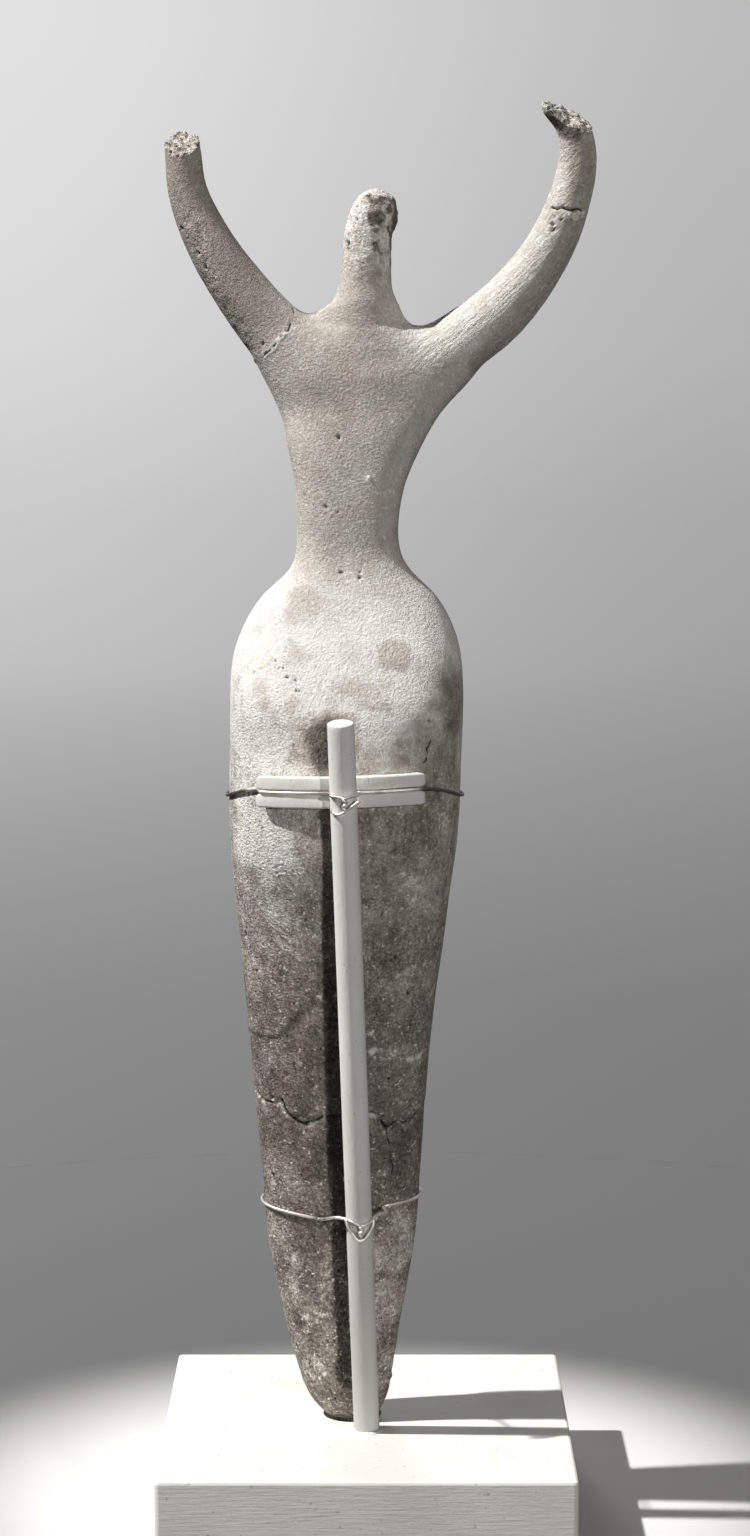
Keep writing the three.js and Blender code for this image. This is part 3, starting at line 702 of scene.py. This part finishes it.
def split_faces(mesh, chosen):
    """Splits the chosen faces into four, and their neighbours to match."""
    work = bmesh.new()
    work.from_mesh(mesh)
    work.faces.ensure_lookup_table()
    edges = {edge for index in np.flatnonzero(chosen) for edge in work.faces[index].edges}
    bmesh.ops.subdivide_edges(work, edges=list(edges), cuts=1, use_grid_fill=True)
    bmesh.ops.triangulate(work, faces=[face for face in work.faces if len(face.verts) > 4])
    work.to_mesh(mesh)
    work.free()


def make_figurine():
    """The clay: a fine skin of the solid's own form, with breaks, cracks, mends, pits and crust raised on it."""
    low, high = (corner - TIP for corner in box_of("figurine"))
    corners, faces = skin_of(clay_distance, low - 3, high + 3, SKIN_CELL)
    made = new_mesh("clay_figurine", slide(corners, clay_distance) + TIP, faces)
    for within, least in SPLITS:
        centres = np.empty(len(made.data.polygons) * 3)
        made.data.polygons.foreach_get("center", centres)
        split_faces(made.data, fine_places(centres.reshape(-1, 3) / MM - TIP, within, least))
    points = slide(corners_of(made.data) - TIP, clay_distance, 2)
    slope = slope_of(points, clay_distance, 0.2)
    slope /= np.linalg.norm(slope, axis=1)[:, None]
    moved = points + 0.4 * vectors(points, 2.6, 11) + 0.25 * vectors(points, 0.9, 14)
    places = rough_places(points)
    height, crack = relief_of(points, moved, *places)
    finishes = finish_of(points, moved, *places)
    points = points + slope * height[:, None] + TIP
    made.data.vertices.foreach_set("co", (points * MM).astype(np.float32).ravel())
    made.data.polygons.foreach_set("use_smooth", np.full(len(made.data.polygons), True))
    for name, share in (*finishes.items(), ("crack", crack)):
        attribute = made.data.attributes.new(name, "FLOAT", "POINT")
        attribute.data.foreach_set("value", np.clip(share, 0, 1).astype(np.float32))
    made.data.update()
    return made


# Pieces of the support
def tube_shape(path, radii, sides):
    """Corners and faces of a round section carried along a path of points, with flat ends."""
    path = np.asarray(path, float)
    radii = np.broadcast_to(radii, len(path))
    ways = np.gradient(path, axis=0)
    ways /= np.linalg.norm(ways, axis=1)[:, None]
    first = [np.cross(ways[0], UP if abs(ways[0, 2]) < 0.9 else np.array([1.0, 0, 0]))]
    for way in ways[1:]:
        turned = first[-1] - (first[-1] @ way) * way
        first.append(turned / np.linalg.norm(turned))
    first = np.array(first)
    first[0] /= np.linalg.norm(first[0])
    second = np.cross(ways, first)
    angle = np.linspace(0, 2 * math.pi, sides, endpoint=False)
    ring = np.cos(angle)[None, :, None] * first[:, None] + np.sin(angle)[None, :, None] * second[:, None]
    corners = (path[:, None] + radii[:, None, None] * ring).reshape(-1, 3)
    return corners, loft_faces(len(path), sides)


def one_mesh(name, shapes):
    """One object from several closed shapes."""
    corners, faces, start = [], [], 0
    for shape_corners, shape_faces in shapes:
        corners.append(shape_corners)
        faces += [[start + corner for corner in face] for face in shape_faces]
        start += len(shape_corners)
    return new_mesh(name, np.vstack(corners), faces)


def walls(rings, sides, closed=False):
    """Four-sided faces between neighbouring rings of corners, and from the last ring to the first if closed."""
    i, j = np.meshgrid(np.arange(rings if closed else rings - 1), np.arange(sides), indexing="ij")
    here, above, beside = i * sides, (i + 1) % rings * sides, (j + 1) % sides
    return np.stack([here + j, here + beside, above + beside, above + j], axis=-1).reshape(-1, 4)


def loft_faces(rings, sides):
    """The walls between rings of corners, and one face over each end."""
    ends = [list(range(sides))[::-1], list(range((rings - 1) * sides, rings * sides))]
    return [*walls(rings, sides).tolist(), *ends]


# The rod's line, from the node's box: its foot is at the box's high corner and its top at the low one
ROD_LOW, ROD_HIGH = box_of("support_rod")
ROD_FOOT = np.array([ROD_HIGH[0] - ROD_RADIUS, ROD_HIGH[1] - ROD_RADIUS, ROD_LOW[2]])
ROD_TOP = np.array([ROD_LOW[0] + ROD_RADIUS, ROD_LOW[1] + ROD_RADIUS, ROD_HIGH[2]])
ROD_LENGTH = np.linalg.norm(ROD_TOP - ROD_FOOT)
ROD_WAY = (ROD_TOP - ROD_FOOT) / ROD_LENGTH
ROD_EDGE = 0.5
ROD_RINGS, ROD_SIDES = 160, 48


def make_rod():
    """The rod, turned about its slanted line, with a softly rounded top and slight unevenness of its paint."""
    turn = np.linspace(0, math.pi / 2, 6)[1:]
    straight = np.linspace(0, ROD_LENGTH - ROD_EDGE, ROD_RINGS)
    along = np.concatenate([straight, ROD_LENGTH - ROD_EDGE * (1 - np.sin(turn))])
    radii = np.concatenate([np.full(ROD_RINGS, ROD_RADIUS), ROD_RADIUS - ROD_EDGE * (1 - np.cos(turn))])
    path = ROD_FOOT + along[:, None] * ROD_WAY
    return one_mesh("rod", [tube_shape(path, radii - 0.04 + 0.035 * noise(path, 9, 71), ROD_SIDES)])


def make_foot_plaster():
    """A low ring of plaster around the rod's foot, uneven all round, on the block's top."""
    block_top = TIP_ON_BLOCK[2]
    foot = ROD_FOOT + (block_top - ROD_FOOT[2]) / ROD_WAY[2] * ROD_WAY
    angle = np.linspace(0, 2 * math.pi, 48, endpoint=False)
    out = np.stack([np.cos(angle), np.sin(angle), 0 * angle], axis=1)
    uneven = noise(foot + 4 * out, 2.2, 75)[:, None]
    rings = [foot + (ROD_RADIUS + reach) * out + (height * (1 + 0.5 * uneven)) * UP
             for reach, height in ((0.02, 0), (0.02, 0.5), (0.35, 0.42), (0.75 + 0.3 * uneven, 0.16),
                                   (1.0 + 0.4 * uneven, 0.01), (0.9 + 0.4 * uneven, 0))]
    faces = walls(len(rings), len(angle), closed=True)
    return new_mesh("foot_plaster", np.vstack(rings), faces[:, ::-1].tolist())


HIP_TURN = math.radians(-2)
HIP_SWEEP = math.radians(97)
BAND_RISE = 0.022
BAND_STEPS, BAND_SIDES = 90, 32
BAND_CORNER = 0.55
BAND_INSET, BAND_EDGE_INSET = 0.05, 0.03


def stand_off(levels, angles, gap):
    """Points a gap away from the clay, at each level and angle from the back towards +X, found by halving."""
    x, y, wide, deep = trunk_section(levels)
    out = np.stack([np.sin(angles), -np.cos(angles), np.zeros(len(angles))], axis=1)
    middle = np.stack([x, y, levels], axis=1)
    near, far = np.zeros(len(angles)), 2 * (wide + deep) + gap
    for _ in range(24):
        half = (near + far) / 2
        closer = clay_distance(middle + half[:, None] * out) < gap
        near, far = np.where(closer, half, near), np.where(closer, far, half)
    return middle + far[:, None] * out


def make_band(name, node):
    """A flat bar bent round the hips: a rounded oblong carried along the clay's outline."""
    low, high = box_of(node)
    level = (low[2] + high[2]) / 2 - TIP[2]
    share = np.linspace(0, 1, BAND_STEPS)
    angles = HIP_TURN + HIP_SWEEP * (share - 0.5)
    levels = np.full(BAND_STEPS, level - BAND_HEIGHT / 2)
    inner = stand_off(levels, angles, GAP + BAND_INSET)
    outer = stand_off(levels, angles, GAP + BAND_THICKNESS - BAND_INSET)
    out = outer - inner
    thick = np.linalg.norm(out, axis=1)[:, None]
    out = out / thick
    middle = (inner + outer) / 2
    middle[:, 2] = level + BAND_RISE * middle[:, 0]
    angle = np.linspace(0, 2 * math.pi, BAND_SIDES, endpoint=False) + math.pi / BAND_SIDES
    half_thick, half_high = BAND_THICKNESS / 2 - BAND_INSET, BAND_HEIGHT / 2 - BAND_EDGE_INSET
    across = np.sign(np.cos(angle)) * (half_thick - BAND_CORNER) + BAND_CORNER * np.cos(angle)
    upward = np.sign(np.sin(angle)) * (half_high - BAND_CORNER) + BAND_CORNER * np.sin(angle)
    wear = 1 + 0.02 * np.sin(40 * share)[:, None]
    across, upward = across[None] * wear, upward[None] * np.ones_like(wear)
    ends = np.minimum(share, 1 - share) * np.linalg.norm(np.diff(middle, axis=0), axis=1).sum()
    shrink = 1 - 0.22 * (1 - ease(0, 0.7, ends))[:, None]
    corners = middle[:, None] + (across * shrink)[..., None] * out[:, None] + (upward * shrink)[..., None] * UP
    corners = corners.reshape(-1, 3) + TIP
    corners += 0.03 * noise(corners, 2.0, 81)[:, None] * UP
    return new_mesh(name, corners, loft_faces(BAND_STEPS, BAND_SIDES))


# The wires' routes
def rod_distance(points):
    """Distance to the rod, in the clay's measure."""
    away = points + TIP - ROD_FOOT
    return np.linalg.norm(away - (away @ ROD_WAY)[:, None] * ROD_WAY, axis=1) - ROD_RADIUS


def on_rod(pixels, lift):
    """Points that the pixels show at a height above the rod."""
    return np.vstack([
        reached([pixel], lambda points: rod_distance(points) - WIRE_RADIUS - height)
        for pixel, height in zip(pixels, np.broadcast_to(lift, len(pixels)))])


TWIST_RADIUS = 0.42
TWIST_STEPS = 22
KNOT_TURNS = 1.5

# The hip wire: its level as a share of the height, how far it drops in front, and how deep it is pressed in
HIP_GROOVE = 0.5055
HIP_DROP = 3.4
PRESSED = 0.15


def twist(start, end, turns, phase):
    """One strand of a twisted pair between two points: a helix seen from the camera's side."""
    share = np.linspace(0, 1, TWIST_STEPS)
    angle = 2 * math.pi * turns * share + phase
    middle = start + share[:, None] * (end - start)
    grow = np.sin(math.pi * share) ** 0.5
    return middle + TWIST_RADIUS * grow[:, None] * np.stack([np.cos(angle), -np.sin(angle), 0 * angle], axis=1)


def hip_wire_paths():
    """The wire lies in the groove between the bars, passes round the front and is twisted behind the rod."""
    spans = (-7, -47, 14), (-54, -306, 56), (-313, -353, 14)
    angles = np.radians(np.concatenate([np.linspace(*span) for span in spans]))
    from_back = np.minimum(-angles, 2 * math.pi + angles)
    on_bars = from_back < HIP_SWEEP / 2
    levels = HIP_GROOVE * FIGURE_HEIGHT - HIP_DROP * ease(HIP_SWEEP / 2, math.pi / 2, from_back)
    gaps = np.where(on_bars, BAND_THICKNESS - 0.1, 0) + GAP + WIRE_RADIUS - PRESSED
    around = np.vstack([stand_off(levels[i:i + 1], angles[i:i + 1], gaps[i]) for i in range(len(angles))])
    around[:, 2] += np.where(on_bars, BAND_RISE * around[:, 0], 0)
    top, bottom = on_rod([(344, 799), (345, 812)], [0.9, 0.9])
    path = np.vstack([
        on_rod([(331, 811), (338, 815)], [0.1, 0.4]), twist(bottom, top, KNOT_TURNS, 0),
        on_rod([(336, 797), (331, 796)], 0.3), around, on_rod([(357, 795), (351, 797)], 0.3),
        twist(top, bottom, KNOT_TURNS, math.pi), on_rod([(352, 807), (360, 801)], [1.6, 2.6])])
    return [path]


def leg_wire_paths():
    """The wire clings to the legs, runs taut to the rod and is twisted behind it, where a second loop hangs."""
    degrees = np.linspace(-26, -314, 72)
    levels = np.interp(-degrees, [26, 60, 90, 180, 270, 314], [57.1, 58.4, 59.5, 60.2, 61.2, 60.1])
    around = stand_off(levels, np.radians(degrees), GAP + WIRE_RADIUS - 0.1)
    top, bottom = on_rod([(361, 1227), (361, 1238)], [0.8, 0.8])
    left = at_depth([(337, 1217.5), (325, 1219)], np.array([-22.5, -18]) - TIP[1])
    right = at_depth([(386, 1211.5), (375, 1216)], np.array([-17, -22]) - TIP[1])
    main = np.vstack([
        twist(bottom, top, KNOT_TURNS, 0), on_rod([(352, 1222), (347, 1219.5)], [0.4, 0.1]), left, around, right,
        on_rod([(371, 1222), (366, 1225)], [0.2, 0.6]), twist(top, bottom, KNOT_TURNS, math.pi)])
    loop = on_rod([(346, 1219), (347, 1225), (352, 1233), (358, 1240.5), (363, 1240.5), (368, 1235), (373, 1226),
                   (373.5, 1219)], [0.5, 0.7, 1.1, 1.5, 1.5, 1.1, 0.7, 0.4])
    return [main, loop]


def make_wires():
    """The two tie wires and their twisted knots, as round sections carried along their routes."""
    return [
        one_mesh(name, [tube_shape(smooth_line(path, 3) + TIP, WIRE_RADIUS, 10) for path in paths])
        for name, paths in (("hip_wire_loop", hip_wire_paths()), ("leg_wire_loop", leg_wire_paths()))]


# Finishes
class Value:
    """A socket's value in a finish, which takes part in ordinary arithmetic."""

    def __init__(self, finish, socket):
        self.finish, self.socket = finish, socket

    def math(self, operation, first, second):
        return self.finish.node("Math", {0: first, 1: second}, operation=operation)

    def __add__(self, other):
        return self.math("ADD", self, other)

    def __sub__(self, other):
        return self.math("SUBTRACT", self, other)

    def __rsub__(self, other):
        return self.math("SUBTRACT", other, self)

    def __mul__(self, other):
        return self.math("MULTIPLY", self, other)

    def __truediv__(self, other):
        return self.math("DIVIDE", self, other)

    __radd__ = __add__
    __rmul__ = __mul__


class Finish:
    """A material whose nodes are added one by one."""

    def __init__(self, name, **constants):
        self.material = bpy.data.materials.new(name)
        self.material.use_nodes = True
        self.tree = self.material.node_tree
        self.shader = self.tree.nodes["Principled BSDF"]
        for socket, value in constants.items():
            self.shader.inputs[socket.replace("_", " ")].default_value = value
        self.place = self.node("TexCoord", {}, output="Object")

    def feed(self, socket, value):
        if isinstance(value, Value):
            self.tree.links.new(value.socket, socket)
        else:
            socket.default_value = value

    def node(self, kind, inputs, output=0, stops=None, **settings):
        """Adds a node: its settings first, then the values or links of its sockets."""
        made = self.tree.nodes.new("ShaderNode" + kind)
        for name, value in settings.items():
            setattr(made, name, value)
        if stops:
            while len(made.color_ramp.elements) < len(stops):
                made.color_ramp.elements.new(0.5)
            for element, (position, value) in zip(made.color_ramp.elements, stops):
                element.position, element.color = position, (*np.broadcast_to(value, 3), 1)
        for name, value in inputs.items():
            self.feed(made.inputs[name], value)
        return Value(self, made.outputs[output])

    def noise(self, size, detail=3, rough=0.5, place=None):
        """Noise from 0 to 1 whose lumps are about the given size in millimetres."""
        inputs = {"Vector": place or self.place, "Scale": 1 / (size * MM), "Detail": detail, "Roughness": rough}
        return self.node("TexNoise", inputs)

    def stretched(self, x, y, z, turn=0):
        """The place, turned about Y and stretched along each axis."""
        inputs = {"Vector": self.place, "Rotation": (0, turn, 0), "Scale": (x, y, z)}
        return self.node("Mapping", inputs, vector_type="TEXTURE")

    def share(self, name):
        """A share that the mesh carries at each corner."""
        return self.node("Attribute", {}, output="Fac", attribute_name=name)

    def step(self, value, low, high):
        """0 up to low and 1 from high on."""
        inputs = {"Value": value, "From Min": low, "From Max": high}
        return self.node("MapRange", inputs, interpolation_type="SMOOTHSTEP")

    def mix(self, share, first, second):
        """One colour passing into another."""
        inputs = {0: share, 6: colour(first), 7: colour(second)}
        return self.node("Mix", inputs, output=2, data_type="RGBA")

    def bump(self, height, distance, strength=1.0, after=None):
        """Raises the surface's look by a height in millimetres."""
        inputs = {"Height": height, "Distance": distance * MM, "Strength": strength}
        if after:
            inputs["Normal"] = after
        return self.node("Bump", inputs, output="Normal")

    def axes(self):
        """The place along X, Y and Z, in metres."""
        parts = self.node("SeparateXYZ", {"Vector": self.place})
        return [Value(self, parts.socket.node.outputs[i]) for i in range(3)]

    def finish(self, **links):
        for socket, value in links.items():
            self.feed(self.shader.inputs[socket.replace("_", " ")], value)
        return self.material


def colour(value):
    """A colour as four numbers, unless it is a value of the finish already."""
    return value if isinstance(value, Value) else (*value, 1.0)


# The clay's colours from dark to pale, and the direction of the brush marks on the raised arm
CLAY_COLOURS = [(0.0, (0.008, 0.006, 0.005)), (0.2, (0.029, 0.025, 0.021)), (0.4, (0.1, 0.086, 0.072)),
                (0.6, (0.24, 0.21, 0.178)), (0.76, (0.435, 0.393, 0.34)), (0.9, (0.65, 0.61, 0.545)),
                (1.0, (0.86, 0.83, 0.78))]
ARM_SLANT = math.radians(-42)


def clay_finish():
    """Baked clay: buff and grainy above, worn white paint on the hips, speckled grey-brown legs."""
    clay = Finish("baked_clay", IOR=1.45, Specular_IOR_Level=0.2)
    fine = clay.noise(0.6, 3, 0.6) - 0.5
    small = clay.noise(1.7, 4, 0.65) - 0.5
    mottle = clay.noise(6.5, 4, 0.6) - 0.5
    drips = clay.noise(1.2, 3, 0.55, clay.stretched(1, 1, 5)) - 0.5
    striae = clay.noise(0.9, 3, 0.6, clay.stretched(7, 1, 1, ARM_SLANT))
    flecks = clay.step(clay.noise(1.2, 3, 0.6), 0.6, 0.7)
    pores = clay.step(clay.noise(1.5, 3, 0.6), 0.65, 0.72)
    speckle = 2 * clay.share("speckle")
    marks = 0.7 * fine + 0.5 * small + 0.6 * mottle + 0.28 * flecks - 0.34 * pores
    light = clay.share("lightness") + speckle * marks + 0.35 * clay.share("drips") * drips + 0.14 * fine
    body = clay.node("ValToRGB", {"Fac": light}, stops=CLAY_COLOURS)
    crumbs = clay.step(clay.noise(0.8, 3, 0.7), 0.38, 0.62)
    body = clay.mix(0.85 * clay.share("broken"), body, clay.mix(crumbs, (0.16, 0.13, 0.105), (0.78, 0.74, 0.66)))
    body = clay.mix(clay.share("filler") * clay.step(fine, -0.2, 0.0), body, (0.78, 0.75, 0.68))
    body = clay.mix(clay.share("crack"), body, (0.018, 0.014, 0.011))
    arm = clay.share("striae")
    grain = 0.25 + 0.9 * clay.share("speckle")
    relief = clay.bump(grain * (clay.noise(1.0, 4, 0.6) + 0.6 * clay.noise(0.5, 2)), 0.8, 0.9)
    relief = clay.bump(striae * arm, 0.6, 0.9, relief)
    return clay.finish(Base_Color=body, Roughness=0.84 + 0.1 * fine, Normal=relief)


def painted_finish(name, base, dirt, grain_size, along, depth, soiled=None):
    """Brushed white paint with fine streaks along the brush, specks and a little dirt.

    Where the levels of soiling are given, the paint is greyer below the first and clean above the second.
    """
    paint = Finish(name, IOR=1.47, Specular_IOR_Level=0.25)
    streaks = paint.noise(0.7, 4, 0.6, paint.stretched(*along))
    cloud = paint.noise(18, 3)
    specks = paint.step(paint.noise(grain_size, 3, 0.6), 0.67, 0.72)
    body = paint.mix(paint.step(cloud, 0.3, 0.8), base, dirt)
    body = paint.mix(0.3 * paint.step(streaks, 0.4, 0.75), body, dirt)
    body = paint.mix(0.6 * specks, body, (0.3, 0.27, 0.22))
    if soiled:
        _, _, level = paint.axes()
        body = paint.mix(0.5 - 0.5 * paint.step(level, *soiled), body, (0.16, 0.15, 0.135))
    relief = paint.bump(streaks + 0.6 * paint.noise(1.3, 3, 0.6), depth, 0.8)
    return paint.finish(Base_Color=body, Roughness=0.6 + 0.2 * cloud, Normal=relief)


# Where the wire is painted darker as shade at the sides of the hips, in metres: how far from the hips' middle, and
# above which level
HIP_MIDDLE = -0.008
PAINTED_SHADE_ASIDE = (0.0195, 0.0215)
PAINTED_SHADE_ABOVE = (0.15, 0.16)


def wire_finish():
    """Bare wire, dull and slightly stained, with painted shade making it darker at the sides of the hips."""
    wire = Finish("tie_wire", Metallic=1.0)
    stain = wire.noise(2.5, 3)
    body = wire.mix(wire.step(stain, 0.4, 0.75), (0.62, 0.6, 0.56), (0.34, 0.31, 0.27))
    x, _, level = wire.axes()
    across = wire.node("Math", {0: x - HIP_MIDDLE}, operation="ABSOLUTE")
    aside = wire.step(across, *PAINTED_SHADE_ASIDE) * wire.step(level, *PAINTED_SHADE_ABOVE)
    # Painted shade on the wire at the sides of the hips
    body = wire.mix(0.9 * aside, body, (0.05, 0.045, 0.04))
    return wire.finish(Base_Color=body, Roughness=0.35 + 0.25 * stain, Normal=wire.bump(wire.noise(0.6), 0.04))


# Stage
FLOOR_RADIUS = 0.36
PALE_TO = 0.07
GREY_FROM = 0.14
ROOM_RADIUS = 2.6


def backdrop_glow(stage):
    """The backdrop's grey as a glow of painted light: growing lighter away from the object and up the wall, and
    towards the left.
    """
    x, y, z = stage.axes()
    reach = stage.node("Math", {0: x * x + y * y}, operation="SQRT")
    far = stage.node("ValToRGB", {"Fac": (reach + z) / 4}, stops=[
        (0.0, 0.185), (0.073, 0.22), (0.16, 0.245), (0.32, 0.335), (0.64, 0.5), (0.71, 0.58), (0.8, 0.64)])
    side = 1.2 - 0.42 * stage.step(x, -0.45, 0.45)
    return reach, far, side


def stage_finish(name):
    """Pale floor near the object, passing into the backdrop's grey further out, a glow of painted light."""
    stage = Finish(name, Base_Color=(0.72, 0.71, 0.69, 1), Roughness=0.8)
    reach, far, side = backdrop_glow(stage)
    glow = stage.node("Emission", {"Color": far, "Strength": side})
    pale = 1 - stage.step(reach, PALE_TO, GREY_FROM)
    both = stage.node("MixShader", {0: pale, 1: glow, 2: Value(stage, stage.shader.outputs[0])})
    output = stage.tree.nodes["Material Output"]
    stage.tree.links.new(both.socket, output.inputs["Surface"])
    return stage.material


def revolved(name, profile, sides):
    """A profile of radii and heights turned about the vertical, open where its radius isn't zero."""
    angle = np.linspace(0, 2 * math.pi, sides, endpoint=False)
    profile = np.asarray(profile, float)
    radii, heights = profile[:, :1], profile[:, 1:]
    corners = np.stack([radii * np.cos(angle), radii * np.sin(angle), heights + 0 * angle], axis=-1)
    return new_mesh(name, corners.reshape(-1, 3) / MM, walls(len(profile), sides).tolist())


def make_stage():
    floor = revolved("floor", [(0.0005, 0), (0.1, 0), (0.2, 0), (FLOOR_RADIUS, 0)], 96)
    bend = np.linspace(0, math.pi / 2, 12)
    sweep = [(ROOM_RADIUS - 0.5 + 0.5 * math.sin(a), 0.5 - 0.5 * math.cos(a)) for a in bend]
    room = revolved("backdrop", [(FLOOR_RADIUS, 0), (1.0, 0), *sweep, (ROOM_RADIUS, 4.0), (0.001, 5.0)], 128)
    for piece in (floor, room):
        piece.data.materials.append(stage_finish(piece.name + "_finish"))
    floor.visible_diffuse = False
    room.visible_diffuse = False
    room.visible_shadow = False


def sun(name, azimuth, elevation, strength, angle):
    """A far light. Azimuth 0 sends its light towards +X, and 90 towards +Y; elevation is its height."""
    turn, tilt = math.radians(azimuth), math.radians(elevation)
    way = Vector((math.cos(turn) * math.cos(tilt), math.sin(turn) * math.cos(tilt), -math.sin(tilt)))
    lamp = bpy.data.lights.new(name, "SUN")
    lamp.energy, lamp.angle = strength, math.radians(angle)
    holder = bpy.data.objects.new(name, lamp)
    holder.rotation_mode = "QUATERNION"
    holder.rotation_quaternion = way.to_track_quat("-Z", "Y")
    bpy.context.scene.collection.objects.link(holder)


def make_camera():
    data = bpy.data.cameras.new("camera")
    data.lens, data.sensor_width, data.sensor_fit = PICTURE_LENS, PICTURE_SENSOR, "AUTO"
    data.clip_start, data.clip_end = 0.01, 50
    camera = bpy.data.objects.new("camera", data)
    camera.location = CAMERA_AT * MM
    camera.rotation_euler = (math.pi / 2 - CAMERA_DOWN, 0, 0)
    bpy.context.scene.collection.objects.link(camera)
    bpy.context.scene.camera = camera


make_camera()
make_stage()

# The lights: from the picture's left and above, from the camera's side, and a wide one on the hidden side
sun("key", 10, 50, 4.8, 1.5)
sun("front", 111, 12, 1.08, 2.0)
sun("far", -80, 12, 1.0, 15)
world = bpy.data.worlds.new("world")
world.use_nodes = True
world.node_tree.nodes["Background"].inputs[0].default_value = (0.004, 0.004, 0.004, 1)
bpy.context.scene.world = world
bpy.context.scene.view_settings.view_transform = "Standard"

figurine = make_figurine()
figurine.data.materials.append(clay_finish())
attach(figurine, "root")
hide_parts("figurine")

wood = painted_finish("white_wood", (0.80, 0.78, 0.73), (0.74, 0.72, 0.67), 1.4, (12, 12, 1), 0.12)
metal = painted_finish("white_metal", (0.88, 0.86, 0.81), (0.78, 0.76, 0.71), 1.0, (1, 1, 6), 0.16, (0.03, 0.12))
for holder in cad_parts["base_block"].material_slots:
    holder.material = wood

rod = make_rod()
bands = [make_band("upper_bar", "upper_band"), make_band("lower_bar", "lower_band")]
wires = make_wires()
plaster = make_foot_plaster()
plaster.data.materials.append(wood)
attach(plaster, "root")
for piece, node in zip((rod, *bands), ("support_rod", "upper_band", "lower_band")):
    piece.data.materials.append(metal)
    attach(piece, "root")
    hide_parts(node)
wire_metal = wire_finish()
for piece, node in zip(wires, ("hip_wire", "leg_wire")):
    piece.data.materials.append(wire_metal)
    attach(piece, "root")
    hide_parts(node)
